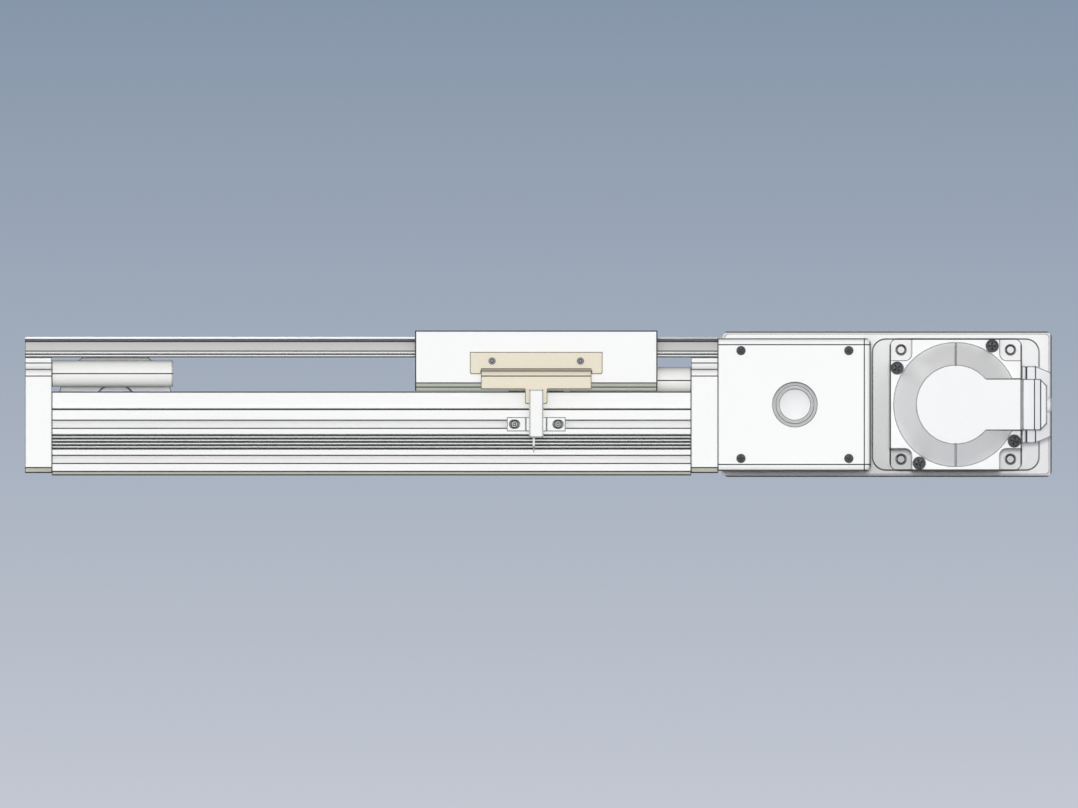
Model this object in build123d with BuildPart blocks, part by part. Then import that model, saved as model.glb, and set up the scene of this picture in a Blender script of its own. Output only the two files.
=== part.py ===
from build123d import *
import os
from math import asin, cos, degrees, floor, pi, sin

# Belt driven linear axis with a side mounted servo motor and a belt reduction.
# Millimetres. +X runs along the stroke towards the drive head, +Z is up, and -Y is the side
# with the limit sensor. The origin is the middle of the base profile's underside.

os.makedirs("parts", exist_ok=True)

# Base profile: an open aluminium extrusion
profile_length = 289.2
profile_half_width = 35.0
profile_height = 38.0
flank_height = 30.1
flank_step = 3.0
upper_wall = 3.5
profile_chamfer = 1.6
floor_thickness = 4.0
return_channel_height = 8.0
return_channel_half_width = 13.0
rail_seat_thickness = 6.0
slot_opening = 3.2
slot_lip = 1.8
slot_undercut_height = 6.4
slot_undercut_depth = 2.6
upper_slot_height = 23.2
lower_slot_height = 7.3
scribe_height = 15.2
scribe_spacing = 1.5
scribe_depth = 0.5

# End blocks
end_block_thickness = 12.2
end_block_foot = 1.1
end_block_chamfer = 2.3
shoulder_curve = 3.0
shoulder_height = 48.0
end_screw_radius = 2.0
end_screw_height = 9.5
end_screw_inner = 18.0
end_screw_outer = 27.0
end_screw_grip = 14.0
end_screw_head = 3.5
end_screw_head_height = 4.0
end_screw_socket = 1.7
arm_screw_radius = 1.5
arm_screw_head = 2.75
arm_screw_head_height = 3.0

# Top cover and its crowned strip
cover_half_width = 26.0
cover_wall = 1.6
cover_room = 0.53
cover_slope_height = 4.6
cover_lip_height = 2.9
lip_bead_height = 1.6
lip_bead = 0.3
strip_half_width = 15.5
strip_thickness = 0.9
strip_crown = 0.9

# Toothed belts, 5 mm pitch with trapezoid teeth
belt_pitch = 5.0
belt_tooth_height = 1.2
belt_tooth_root = 2.5
belt_tooth_tip = 1.8
belt_backing = 1.5
pitch_line_depth = 0.6
tooth_clearance = 0.2
root_clearance = 0.15
axis_belt_width = 12.0
reduction_belt_width = 12.0
drive_teeth = 30
driven_teeth = 30
motor_teeth = 15
idler_room = 28.0
reduction_belt_teeth = 52
flange_thickness = 1.2
flange_rise = 1.2
pulley_side_clearance = 0.4

# Drive head
axis_height = 32.1
drive_offset = 34.8
head_length = 69.2
head_half_depth = 35.0
head_bottom = 2.0
head_top = 62.2
head_edge_radius = 3.0
side_cover_thickness = 8.0
head_screw_offset = 24.4
shaft_radius = 8.5
shaft_bore_radius = 7.2
shaft_bore_depth = 18.0
side_opening_radius = 10.0
bearing_outer_radius = 17.5
bearing_width = 10.0
running_clearance = 0.05
seat_clearance = 0.02

# Reduction housing behind the head
housing_drive_reach = 33.0
housing_motor_reach = 43.5
housing_lift = 0.2
housing_depth = 30.0
belt_room = 4.2
housing_wall = 4.0
housing_edge = 1.3
housing_corner = 3.0
lid_thickness = 4.0
pad_half_width = 37.7
pad_half_height = 29.65
pad_height = 4.0
pad_corner = 6.0

# Servo motor
motor_half_width = 30.0
motor_corner = 4.0
motor_flange_thickness = 7.0
motor_body_length = 58.0
motor_cover_length = 26.0
motor_pocket = 10.0
motor_hole_offset = 24.75
motor_hole_radius = 2.3
motor_pilot_radius = 25.0
motor_pilot_height = 3.0
motor_shaft_radius = 7.0
cover_cone_radius = 28.0
cover_face_radius = 17.9
neck_half_height = 11.6

# Carriage
carriage_length = 109.7
carriage_end_gap = 15.2
carriage_half_width = 35.0
carriage_roof = 2.2
carriage_bevel_top = 41.9
carriage_bevel_height = 1.9
carriage_bevel_step = 1.6
carriage_wall = 7.0
carriage_gap = 0.3
cover_gap = 0.7
stop_length = 25.0
saddle_length = 96.0
saddle_thickness = 10.4
table_hole_radius = 2.5
table_hole_depth = 6.0
table_hole_row = 58.0
table_hole_inner = 40.0
table_hole_outer = 80.0

# Guide rails, miniature size 7
rail_spacing = 39.0
rail_width = 7.0
rail_height = 4.8
rail_end_gap = 1.6
block_width = 17.0
block_height = 8.0
block_lift = 1.5
block_length = 30.8
block_cap = 4.6
block_offset = 31.0

# Flag that the sensor sees
flag_thickness = 1.5
flag_length = 60.0
flag_height = 10.0
flag_drop = 9.7
flag_offset_length = 50.0
flag_offset_rise = 2.3
flag_offset_height = 9.1
flag_inner_bend = 0.8
flag_tab_width = 10.1
flag_tab_overlap = 6.5
flag_corner = 1.0
flag_screw_spacing = 40.0
flag_screw_drop = 4.1
flag_screw_radius = 1.0
flag_screw_head = 1.6
flag_screw_head_height = 0.9

# Limit sensor
sensor_width = 6.4
sensor_depth = 5.5
sensor_bottom = 17.2
sensor_top = 38.9
sensor_gap = 1.2
bracket_length = 26.5
bracket_height = 6.4
bracket_thickness = 1.5
bracket_hole_offset = 9.85
bracket_slot_length = 4.6
bracket_slot_width = 3.6
outlet_radius = 0.5
outlet_length = 4.3
lead_radius = 0.25
lead_length = 6.6
lead_offset = 1.1

# Buffers
buffer_radius = 6.0
stop_gap = 2.75
buffer_offset = 20.7
idler_buffer_height = 46.1
drive_buffer_height = 43.0

# Belt clamp on the carriage's stop bridge
clamp_half_width = 14.0
clamp_gap = 0.1
clamp_margin = 0.5
clamp_bed_thickness = 1.9
clamp_plate_thickness = 1.8
clamp_corner = 1.5
clamp_screw_radius = 1.5
clamp_screw_row = 21.0
clamp_socket_depth = 1.2

# Worked out from the sizes above
profile_end = profile_length / 2
end_screw_rows = (-end_screw_outer, -end_screw_inner, end_screw_inner, end_screw_outer)
block_end = profile_end + end_block_thickness
upper_half_width = profile_half_width - flank_step
channel_half_width = upper_half_width - upper_wall
rail_seat = floor_thickness + return_channel_height + rail_seat_thickness
drive_radius = drive_teeth * belt_pitch / (2 * pi)
driven_radius = driven_teeth * belt_pitch / (2 * pi)
motor_radius = motor_teeth * belt_pitch / (2 * pi)
wrap_length = (drive_teeth + drive_teeth) / 2 * belt_pitch
drive_x = block_end + drive_offset
carriage_x = profile_end - carriage_end_gap - carriage_length / 2
buffer_length = profile_end - carriage_x - stop_length / 2 - stop_gap
longest_belt = 2 * (drive_x + profile_end - idler_room) + wrap_length
axis_belt_teeth = floor(longest_belt / belt_pitch)
axis_distance = (axis_belt_teeth * belt_pitch - wrap_length) / 2
idler_x = drive_x - axis_distance
pulley_half = axis_belt_width / 2 + pulley_side_clearance + flange_thickness
pulley_rim = drive_radius - pitch_line_depth + belt_backing + flange_rise
pocket_gap = 1.0
block_top = rail_seat + block_height
belt_land = axis_height + drive_radius - pitch_line_depth
belt_back = belt_land + belt_backing
stop_top = belt_land - belt_tooth_height - clamp_bed_thickness
clamp_top = belt_back + clamp_gap + clamp_plate_thickness
tongue_top = clamp_top + cover_room
cover_deck_height = tongue_top + cover_wall
cover_lip_top = cover_deck_height - cover_slope_height
cover_lip_bottom = cover_lip_top - cover_lip_height
lip_bead_top = cover_lip_bottom + lip_bead_height
strip_top = cover_deck_height + strip_thickness + strip_crown
carriage_top = strip_top + cover_gap + carriage_roof
flag_top = carriage_top - flag_drop
flag_bottom = flag_top - flag_height
flag_screw_height = flag_top - flag_screw_drop
flag_offset_top = flag_bottom + flag_offset_rise
flag_offset_bottom = flag_offset_top - flag_offset_height
flag_tab_bottom = sensor_top - flag_tab_overlap


def open_belt_distance(large, small, length):
    """Centre distance of two pulleys on an open belt, found by halving the range."""
    low = large - small + 1
    high = length
    for _ in range(60):
        middle = (low + high) / 2
        lean = asin((large - small) / middle)
        loop = 2 * middle * cos(lean) + large * (pi + 2 * lean) + small * (pi - 2 * lean)
        if loop < length:
            low = middle
        else:
            high = middle
    return (low + high) / 2


reduction_distance = open_belt_distance(
    driven_radius, motor_radius, reduction_belt_teeth * belt_pitch
)
motor_x = drive_x + reduction_distance


def facing(depth, height=0.0):
    """The plane at Y = depth that faces the sensor side, with its own x along +X and y up."""
    return Plane((0, depth, height), x_dir=(1, 0, 0), z_dir=(0, -1, 0))


def belt_places(left_x, left_radius, right_x, right_radius, count):
    """Places of the belt teeth on the pitch line, each with its x axis pointing outwards."""
    distance = right_x - left_x
    lean = asin((left_radius - right_radius) / distance)
    straight = distance * cos(lean)
    right_wrap = right_radius * (pi - 2 * lean)
    places = []
    for number in range(count):
        way = number * belt_pitch
        if way < straight:
            x = left_x + left_radius * sin(lean) + way * cos(lean)
            y = left_radius * cos(lean) - way * sin(lean)
            angle = pi / 2 - lean
        elif way < straight + right_wrap:
            angle = pi / 2 - lean - (way - straight) / right_radius
            x = right_x + right_radius * cos(angle)
            y = right_radius * sin(angle)
        elif way < 2 * straight + right_wrap:
            back = way - straight - right_wrap
            x = right_x + right_radius * sin(lean) - back * cos(lean)
            y = -right_radius * cos(lean) - back * sin(lean)
            angle = -pi / 2 + lean
        else:
            turned = (way - 2 * straight - right_wrap) / left_radius
            angle = -pi / 2 + lean - turned
            x = left_x + left_radius * cos(angle)
            y = left_radius * sin(angle)
        places.append(Location((x, y, 0), (0, 0, degrees(angle))))
    return places


def first_groove(left_radius, right_radius, distance):
    """Angle of the first tooth that lies on the right pulley, in degrees."""
    lean = asin((left_radius - right_radius) / distance)
    straight = distance * cos(lean)
    past = -straight % belt_pitch
    return 90 - degrees(lean + past / right_radius)


def belt_loop(left_x, left_radius, right_x, right_radius, extra):
    """The closed outline round two pulleys, at a distance from the pitch line."""
    with BuildSketch() as loop:
        with Locations((left_x, 0)):
            Circle(left_radius + extra)
        with Locations((right_x, 0)):
            Circle(right_radius + extra)
        make_hull()
    return loop.sketch


def belt_tooth(clearance, extra_depth):
    """Outline of one tooth, or with a clearance of one pulley groove, x outwards."""
    root = belt_tooth_root / 2 + clearance
    tip = belt_tooth_tip / 2 + clearance
    outer = -pitch_line_depth + belt_backing / 4
    inner = -pitch_line_depth - belt_tooth_height - extra_depth
    with BuildSketch() as tooth:
        with BuildLine():
            Polyline((outer, -root), (inner, -tip), (inner, tip), (outer, root), close=True)
        make_face()
    return tooth.sketch


def toothed_belt(left_x, left_radius, right_x, right_radius, count, width, middle):
    """A whole toothed belt, lying round its two pulleys with its teeth inwards."""
    back = belt_loop(left_x, left_radius, right_x, right_radius, belt_backing - pitch_line_depth)
    land = belt_loop(left_x, left_radius, right_x, right_radius, -pitch_line_depth)
    tooth = belt_tooth(0, 0)
    with BuildPart() as belt:
        with BuildSketch(facing(middle + width / 2, axis_height)):
            add(back)
            add(land, mode=Mode.SUBTRACT)
            with Locations(*belt_places(left_x, left_radius, right_x, right_radius, count)):
                add(tooth)
        extrude(amount=width)
    return belt.part


def toothed_pulley(x, radius, teeth, first_angle, width, middle, bore):
    """A toothed pulley with two side flanges, on an axis along Y."""
    groove = belt_tooth(tooth_clearance, root_clearance)
    body = width + 2 * pulley_side_clearance
    outer = radius - pitch_line_depth - running_clearance
    rim = radius - pitch_line_depth + belt_backing + flange_rise
    with BuildPart() as pulley:
        with BuildSketch(facing(middle + body / 2, axis_height)):
            with Locations((x, 0)):
                Circle(outer)
                with PolarLocations(radius, teeth, start_angle=first_angle):
                    add(groove, mode=Mode.SUBTRACT)
        extrude(amount=body)
        for side in (middle + body / 2 + flange_thickness, middle - body / 2):
            with BuildSketch(facing(side, axis_height)):
                with Locations((x, 0)):
                    Circle(rim)
            extrude(amount=flange_thickness)
        with BuildSketch(facing(middle + body, axis_height)):
            with Locations((x, 0)):
                Circle(bore)
        extrude(amount=2 * body, mode=Mode.SUBTRACT)
    return pulley.part


socket_depth_share = 0.6
recess_depth_share = 0.5
recess_reach_share = 1.1
recess_width_share = 0.25
head_chamfer_share = 0.3


def socket_screw(thread, length, head, head_height, socket):
    """A socket head screw along Z with the underside of its head at zero."""
    with BuildPart() as screw:
        Cylinder(head, head_height, align=(Align.CENTER, Align.CENTER, Align.MIN))
        Cylinder(thread, length, align=(Align.CENTER, Align.CENTER, Align.MAX))
        with BuildSketch(Plane.XY.offset(head_height)):
            RegularPolygon(socket, 6)
        extrude(amount=-head_height * socket_depth_share, mode=Mode.SUBTRACT)
    return screw.part


def cross_screw(thread, length, head, head_height):
    """A pan head screw along Z with a cross recess, the underside of its head at zero."""
    with BuildPart() as screw:
        Cylinder(head, head_height, align=(Align.CENTER, Align.CENTER, Align.MIN))
        Cylinder(thread, length, align=(Align.CENTER, Align.CENTER, Align.MAX))
        chamfer(screw.faces().sort_by(Axis.Z)[-1].edges(), head_height * head_chamfer_share)
        with BuildSketch(Plane.XY.offset(head_height)):
            Rectangle(head * recess_reach_share, head * recess_width_share)
            Rectangle(head * recess_width_share, head * recess_reach_share)
        extrude(amount=-head_height * recess_depth_share, mode=Mode.SUBTRACT)
    return screw.part


# Base profile: extruded channel with T-slots, scribe lines and a closed belt return channel
with BuildPart() as base_profile:
    with BuildSketch(Plane.YZ.offset(-profile_end)):
        with BuildLine():
            Polyline(
                (profile_chamfer - profile_half_width, 0),
                (profile_half_width - profile_chamfer, 0),
                (profile_half_width, profile_chamfer),
                (profile_half_width, flank_height),
                (upper_half_width, flank_height),
                (upper_half_width, profile_height),
                (channel_half_width, profile_height),
                (channel_half_width, rail_seat),
                (-channel_half_width, rail_seat),
                (-channel_half_width, profile_height),
                (-upper_half_width, profile_height),
                (-upper_half_width, flank_height),
                (-profile_half_width, flank_height),
                (-profile_half_width, profile_chamfer),
                close=True,
            )
        make_face()
        with Locations((0, floor_thickness + return_channel_height / 2)):
            Rectangle(2 * return_channel_half_width, return_channel_height, mode=Mode.SUBTRACT)
        for side in (-1, 1):
            for height in (upper_slot_height, lower_slot_height):
                with Locations((side * profile_half_width, height)):
                    Rectangle(2 * slot_lip, slot_opening, mode=Mode.SUBTRACT)
                middle = profile_half_width - slot_lip - slot_undercut_depth / 2
                with Locations((side * middle, height)):
                    Rectangle(slot_undercut_depth, slot_undercut_height, mode=Mode.SUBTRACT)
            for line in (-2, -1, 0, 1, 2):
                with Locations((side * profile_half_width, scribe_height + line * scribe_spacing)):
                    Rectangle(2 * scribe_depth, scribe_depth, mode=Mode.SUBTRACT)
    extrude(amount=profile_length)
    pocket_end = idler_x + pulley_rim + pocket_gap
    pocket_length = profile_end + pocket_end
    with Locations((pocket_end - pocket_length / 2, 0, rail_seat - rail_seat_thickness / 2)):
        Box(pocket_length, 2 * (pulley_half + pocket_gap), rail_seat_thickness, mode=Mode.SUBTRACT)
    for row in end_screw_rows:
        with Locations((0, row, end_screw_height)):
            Cylinder(
                end_screw_radius + seat_clearance, profile_length,
                rotation=(0, 90, 0), mode=Mode.SUBTRACT,
            )
base_profile.part.label = "base_profile"
export_step(base_profile.part, "parts/base_profile.step")


# Widths of the arms that carry the idler beside its pulley, from the belt outwards
arm_gap = 0.6
arm_thickness = 3.8
arm_middle = pulley_half + arm_gap + arm_thickness / 2
arm_outer = pulley_half + arm_gap + arm_thickness

# End blocks: the foot is as wide as the base, the head is as wide as the cover
head_inner = cover_half_width - cover_wall - lip_bead
curve_top = shoulder_height + shoulder_curve
tongue_shoulder = cover_lip_top - cover_wall
belt_window_gap = 1.0
belt_window_half = pulley_half + belt_window_gap


def end_block(start, window):
    """An end block from the plane X = start; a window lets the belt and its pulley through."""
    with BuildPart() as block:
        with BuildSketch(Plane.YZ.offset(start)):
            with BuildLine() as outline:
                inner = Polyline(
                    (0, end_block_foot),
                    (profile_half_width - end_block_chamfer, end_block_foot),
                    (profile_half_width, end_block_foot + end_block_chamfer),
                    (profile_half_width, shoulder_height - shoulder_curve),
                )
                outer_arc = CenterArc(
                    (profile_half_width - shoulder_curve, shoulder_height - shoulder_curve),
                    shoulder_curve, 0, 90,
                )
                ledge = Line(outer_arc @ 1, (cover_half_width + shoulder_curve, shoulder_height))
                inner_arc = CenterArc(
                    (cover_half_width + shoulder_curve, curve_top), shoulder_curve, 180, 90
                )
                Polyline(
                    inner_arc @ 0,
                    (cover_half_width, cover_lip_bottom),
                    (head_inner, cover_lip_bottom),
                    (head_inner, tongue_shoulder),
                    (strip_half_width - cover_wall, tongue_top),
                    (0, tongue_top),
                )
                mirror(outline.line, about=Plane.YZ)
            make_face()
            if window:
                with Locations((0, axis_height)):
                    Rectangle(
                        2 * belt_window_half, 2 * (drive_radius + belt_backing + belt_window_gap),
                        mode=Mode.SUBTRACT,
                    )
        extrude(amount=end_block_thickness)
        for row in end_screw_rows:
            with Locations((start + end_block_thickness / 2, row, end_screw_height)):
                Cylinder(
                    end_screw_radius + running_clearance, end_block_thickness,
                    rotation=(0, 90, 0), mode=Mode.SUBTRACT,
                )
    return block.part


with BuildPart() as idler_end_block:
    add(end_block(-block_end, False))
    with Locations((-block_end, 0, axis_height)):
        with GridLocations(1, 2 * arm_middle, 1, 2):
            Cylinder(
                arm_screw_radius + running_clearance, 3 * end_block_thickness,
                rotation=(0, 90, 0), mode=Mode.SUBTRACT,
            )
            Cylinder(
                arm_screw_head + running_clearance, 2 * arm_screw_head_height,
                rotation=(0, 90, 0), mode=Mode.SUBTRACT,
            )
    for row in end_screw_rows:
        with Locations((-block_end, row, end_screw_height)):
            Cylinder(
                end_screw_head + running_clearance, 2 * end_screw_head_height,
                rotation=(0, 90, 0), mode=Mode.SUBTRACT,
            )
idler_end_block.part.label = "idler_end_block"
export_step(idler_end_block.part, "parts/idler_end_block.step")

with BuildPart() as drive_end_block:
    add(end_block(profile_end, True))
    for row in end_screw_rows:
        with Locations((block_end, row, end_screw_height)):
            Cylinder(
                end_screw_head + running_clearance, 2 * end_screw_head_height,
                rotation=(0, 90, 0), mode=Mode.SUBTRACT,
            )
drive_end_block.part.label = "drive_end_block"
export_step(drive_end_block.part, "parts/drive_end_block.step")


# Top cover: a thin extruded hood whose lips hide the upper run of the belt
with BuildPart() as top_cover:
    with BuildSketch(Plane.YZ.offset(-block_end)):
        with BuildLine() as hood:
            Polyline(
                (0, cover_deck_height),
                (strip_half_width, cover_deck_height),
                (cover_half_width, cover_lip_top),
                (cover_half_width, lip_bead_top),
                (cover_half_width, cover_lip_bottom),
                (head_inner + seat_clearance, cover_lip_bottom),
                (head_inner + seat_clearance, tongue_shoulder + seat_clearance),
                (strip_half_width - cover_wall, tongue_top + seat_clearance),
                (0, tongue_top + seat_clearance),
            )
            mirror(hood.line, about=Plane.YZ)
        make_face()
        for side in (-1, 1):
            with Locations((side * cover_half_width, lip_bead_top)):
                Rectangle(2 * lip_bead, lip_bead, mode=Mode.SUBTRACT)
    extrude(amount=2 * block_end)
top_cover.part.label = "top_cover"
export_step(top_cover.part, "parts/top_cover.step")

# Crowned steel strip that closes the top of the cover
with BuildPart() as cover_strip:
    with BuildSketch(Plane.YZ.offset(-block_end)):
        with BuildLine():
            low = ThreePointArc(
                (-strip_half_width, cover_deck_height),
                (0, cover_deck_height + strip_crown),
                (strip_half_width, cover_deck_height),
            )
            high = ThreePointArc(
                (-strip_half_width, cover_deck_height + strip_thickness),
                (0, cover_deck_height + strip_thickness + strip_crown),
                (strip_half_width, cover_deck_height + strip_thickness),
            )
            Line(low @ 0, high @ 0)
            Line(low @ 1, high @ 1)
        make_face()
    extrude(amount=2 * block_end)
cover_strip.part.label = "cover_strip"
export_step(cover_strip.part, "parts/cover_strip.step")


# Guide rails with their screws, and the blocks that run on them
rail_length = profile_length - 2 * rail_end_gap
rail_screw_pitch = 60.0
rail_screw_margin = 15.0
rail_screw_count = floor((rail_length - 2 * rail_screw_margin) / rail_screw_pitch) + 1
rail_screw_radius = 1.0
rail_head_radius = 1.8
rail_head_height = 1.6
rail_head_drop = 0.4
rail_socket = 0.8
rail_groove_height = 0.15 * rail_height
rail_groove_radius = 0.09 * rail_width
for name, side in (("guide_rail_near", -1), ("guide_rail_far", 1)):
    with BuildPart() as guide_rail:
        with BuildSketch(Plane.YZ.offset(-rail_length / 2)):
            with Locations((side * rail_spacing / 2, rail_seat + rail_height / 2)):
                Rectangle(rail_width, rail_height)
                for flank in (-1, 1):
                    with Locations((flank * rail_width / 2, rail_groove_height)):
                        Circle(rail_groove_radius, mode=Mode.SUBTRACT)
        extrude(amount=rail_length)
        with Locations((0, side * rail_spacing / 2, rail_seat + rail_height)):
            with GridLocations(rail_screw_pitch, 1, rail_screw_count, 1):
                CounterBoreHole(
                    rail_screw_radius + running_clearance, rail_head_radius + running_clearance,
                    rail_head_height + rail_head_drop, rail_height,
                )
    guide_rail.part.label = name
    export_step(guide_rail.part, "parts/" + name + ".step")

rail_shank = rail_height - rail_head_height - rail_head_drop
rail_screw = socket_screw(
    rail_screw_radius, rail_shank, rail_head_radius, rail_head_height, rail_socket
)
with BuildPart() as rail_screws:
    with Locations((0, 0, rail_seat + rail_shank)):
        with GridLocations(rail_screw_pitch, rail_spacing, rail_screw_count, 2):
            add(rail_screw)
rail_screws.part.label = "rail_screws"
export_step(rail_screws.part, "parts/rail_screws.step")

# Screws that hold the end blocks on the profile: shank along X, four at each end
end_screw = socket_screw(
    end_screw_radius, end_block_thickness - end_screw_head_height + end_screw_grip,
    end_screw_head, end_screw_head_height, end_screw_socket,
)
with BuildPart() as end_block_screws:
    for row in end_screw_rows:
        with Locations(
            Location(
                (end_screw_head_height - block_end, row, end_screw_height), (0, -90, 0)
            ),
            Location(
                (block_end - end_screw_head_height, row, end_screw_height), (0, 90, 0)
            ),
        ):
            add(end_screw)
end_block_screws.part.label = "end_block_screws"
export_step(end_block_screws.part, "parts/end_block_screws.step")


# Runner blocks: a steel body between two plastic end caps, over the rail
block_rail_gap = 0.2
cap_inset = 0.4


def block_section(width):
    """Cross section of a runner block over its rail, standing on the rail seat."""
    with BuildSketch() as section:
        with Locations((0, (block_lift + block_height) / 2)):
            Rectangle(width, block_height - block_lift)
        with Locations((0, rail_height / 2)):
            Rectangle(
                rail_width + block_rail_gap, rail_height + 2 * block_rail_gap, mode=Mode.SUBTRACT
            )
    return section.sketch


block_body = block_length - 2 * block_cap
for name, side in (("runner_blocks_near", -1), ("runner_blocks_far", 1)):
    section = block_section(block_width)
    cap_section = block_section(block_width - 2 * cap_inset)
    with BuildPart() as runner_blocks:
        for middle in (carriage_x - block_offset, carriage_x + block_offset):
            with BuildSketch(Plane.YZ.offset(middle - block_body / 2)):
                with Locations((side * rail_spacing / 2, rail_seat)):
                    add(section)
            extrude(amount=block_body)
    runner_blocks.part.label = name
    export_step(runner_blocks.part, "parts/" + name + ".step")

    with BuildPart() as block_caps:
        for middle in (carriage_x - block_offset, carriage_x + block_offset):
            for start in (middle - block_length / 2, middle + block_body / 2):
                with BuildSketch(Plane.YZ.offset(start)):
                    with Locations((side * rail_spacing / 2, rail_seat)):
                        add(cap_section)
                extrude(amount=block_cap)
    cap_name = name.replace("runner_blocks", "runner_end_caps")
    block_caps.part.label = cap_name
    export_step(block_caps.part, "parts/" + cap_name + ".step")

# Saddle plate that joins the four runner blocks, slotted so that it passes the idler pulley
saddle_gap = 1.0
saddle_chamfer = 1.0
saddle_half_width = channel_half_width - saddle_gap
saddle_slot_half = arm_outer + arm_gap
saddle_slot_gap = 0.5
saddle_top = block_top + saddle_thickness
with BuildPart() as carriage_saddle:
    with BuildSketch(Plane.XY.offset(block_top)):
        with Locations((carriage_x, 0)):
            Rectangle(saddle_length, 2 * saddle_half_width)
        slot_length = saddle_length / 2 - stop_length / 2 - saddle_slot_gap
        with Locations((carriage_x - saddle_length / 2 + slot_length / 2, 0)):
            Rectangle(slot_length, 2 * saddle_slot_half, mode=Mode.SUBTRACT)
    extrude(amount=saddle_thickness)
    edge = carriage_saddle.edges().filter_by(Axis.X).group_by(Axis.Z)[-1].group_by(Axis.Y)
    chamfer(edge[0] + edge[-1], saddle_chamfer)
carriage_saddle.part.label = "carriage_saddle"
export_step(carriage_saddle.part, "parts/carriage_saddle.step")

# Carriage table: an arch round the cover, with the stop bridge between its legs
arch_inner = carriage_half_width - carriage_wall
arch_bottom = profile_height + carriage_gap
roof_low = cover_lip_top + cover_gap
roof_half_width = strip_half_width + 1.0
bevel_middle = (carriage_half_width - carriage_bevel_step, carriage_bevel_top - carriage_bevel_height)
with BuildPart() as carriage_table:
    with BuildSketch(Plane.YZ.offset(carriage_x - carriage_length / 2)):
        with BuildLine() as arch:
            Polyline(
                (0, carriage_top),
                (carriage_half_width, carriage_top),
                (carriage_half_width, carriage_bevel_top),
                bevel_middle,
                (carriage_half_width - 2 * carriage_bevel_step, arch_bottom),
                (arch_inner, arch_bottom),
                (arch_inner, roof_low),
                (roof_half_width, strip_top + cover_gap),
                (0, strip_top + cover_gap),
            )
            mirror(arch.line, about=Plane.YZ)
        make_face()
    extrude(amount=carriage_length)
    with BuildSketch(Plane.YZ.offset(carriage_x - stop_length / 2)):
        with Locations((0, (arch_bottom + stop_top) / 2)):
            Rectangle(2 * arch_inner, stop_top - arch_bottom)
        with Locations((0, (saddle_top + arch_bottom) / 2)):
            Rectangle(2 * saddle_half_width, arch_bottom - saddle_top)
    extrude(amount=stop_length)
    with Locations((carriage_x, 0, carriage_top)):
        for spacing in (table_hole_inner, table_hole_outer):
            with GridLocations(spacing, table_hole_row, 2, 2):
                Hole(table_hole_radius, table_hole_depth)
    with Locations(facing(-carriage_half_width)):
        with Locations((carriage_x, flag_screw_height)):
            with GridLocations(flag_screw_spacing, 1, 2, 1):
                Hole(flag_screw_radius + seat_clearance, carriage_wall)
carriage_table.part.label = "carriage_table"
export_step(carriage_table.part, "parts/carriage_table.step")

# Belt clamp on the stop bridge: a toothed bed, a plate over the belt and four screws
clamp_length = stop_length - 2 * clamp_margin
clamp_socket = 0.55 * clamp_screw_radius
with BuildPart() as belt_clamp_bed:
    with BuildSketch(Plane.YZ.offset(carriage_x - clamp_length / 2)):
        with Locations((0, (stop_top + belt_back + clamp_gap) / 2)):
            Rectangle(2 * clamp_half_width, belt_back + clamp_gap - stop_top)
        with Locations((0, belt_back)):
            Rectangle(
                axis_belt_width + 4 * clamp_gap, 2 * (belt_backing + clamp_gap),
                mode=Mode.SUBTRACT,
            )
    extrude(amount=clamp_length)
    first_tooth = round((carriage_x - idler_x) / belt_pitch)
    groove = belt_tooth(tooth_clearance, root_clearance)
    with BuildSketch(facing(axis_belt_width / 2 + 2 * clamp_gap, axis_height)):
        for number in range(-3, 4):
            tooth_x = idler_x + (first_tooth + number) * belt_pitch
            with Locations(Location((tooth_x, drive_radius, 0), (0, 0, 90))):
                add(groove)
    extrude(amount=axis_belt_width + 4 * clamp_gap, mode=Mode.SUBTRACT)
    with Locations((carriage_x, 0, belt_back + clamp_gap)):
        with GridLocations(clamp_length / 2, clamp_screw_row, 2, 2):
            Hole(clamp_screw_radius + seat_clearance)
belt_clamp_bed.part.label = "belt_clamp_bed"
export_step(belt_clamp_bed.part, "parts/belt_clamp_bed.step")

with BuildPart() as belt_clamp_plate:
    with BuildSketch(Plane.XY.offset(belt_back + clamp_gap)):
        with Locations((carriage_x, 0)):
            RectangleRounded(clamp_length, 2 * clamp_half_width, clamp_corner)
            with GridLocations(clamp_length / 2, clamp_screw_row, 2, 2):
                Circle(clamp_screw_radius + seat_clearance, mode=Mode.SUBTRACT)
    extrude(amount=clamp_plate_thickness)
belt_clamp_plate.part.label = "belt_clamp_plate"
export_step(belt_clamp_plate.part, "parts/belt_clamp_plate.step")

with BuildPart() as belt_clamp_screws:
    with Locations((carriage_x, 0, clamp_top)):
        with GridLocations(clamp_length / 2, clamp_screw_row, 2, 2):
            Cylinder(
                clamp_screw_radius, clamp_top - stop_top,
                align=(Align.CENTER, Align.CENTER, Align.MAX),
            )
    with BuildSketch(Plane.XY.offset(clamp_top)):
        with Locations((carriage_x, 0)):
            with GridLocations(clamp_length / 2, clamp_screw_row, 2, 2):
                RegularPolygon(clamp_socket, 6)
    extrude(amount=-clamp_socket_depth, mode=Mode.SUBTRACT)
belt_clamp_screws.part.label = "belt_clamp_screws"
export_step(belt_clamp_screws.part, "parts/belt_clamp_screws.step")

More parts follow.
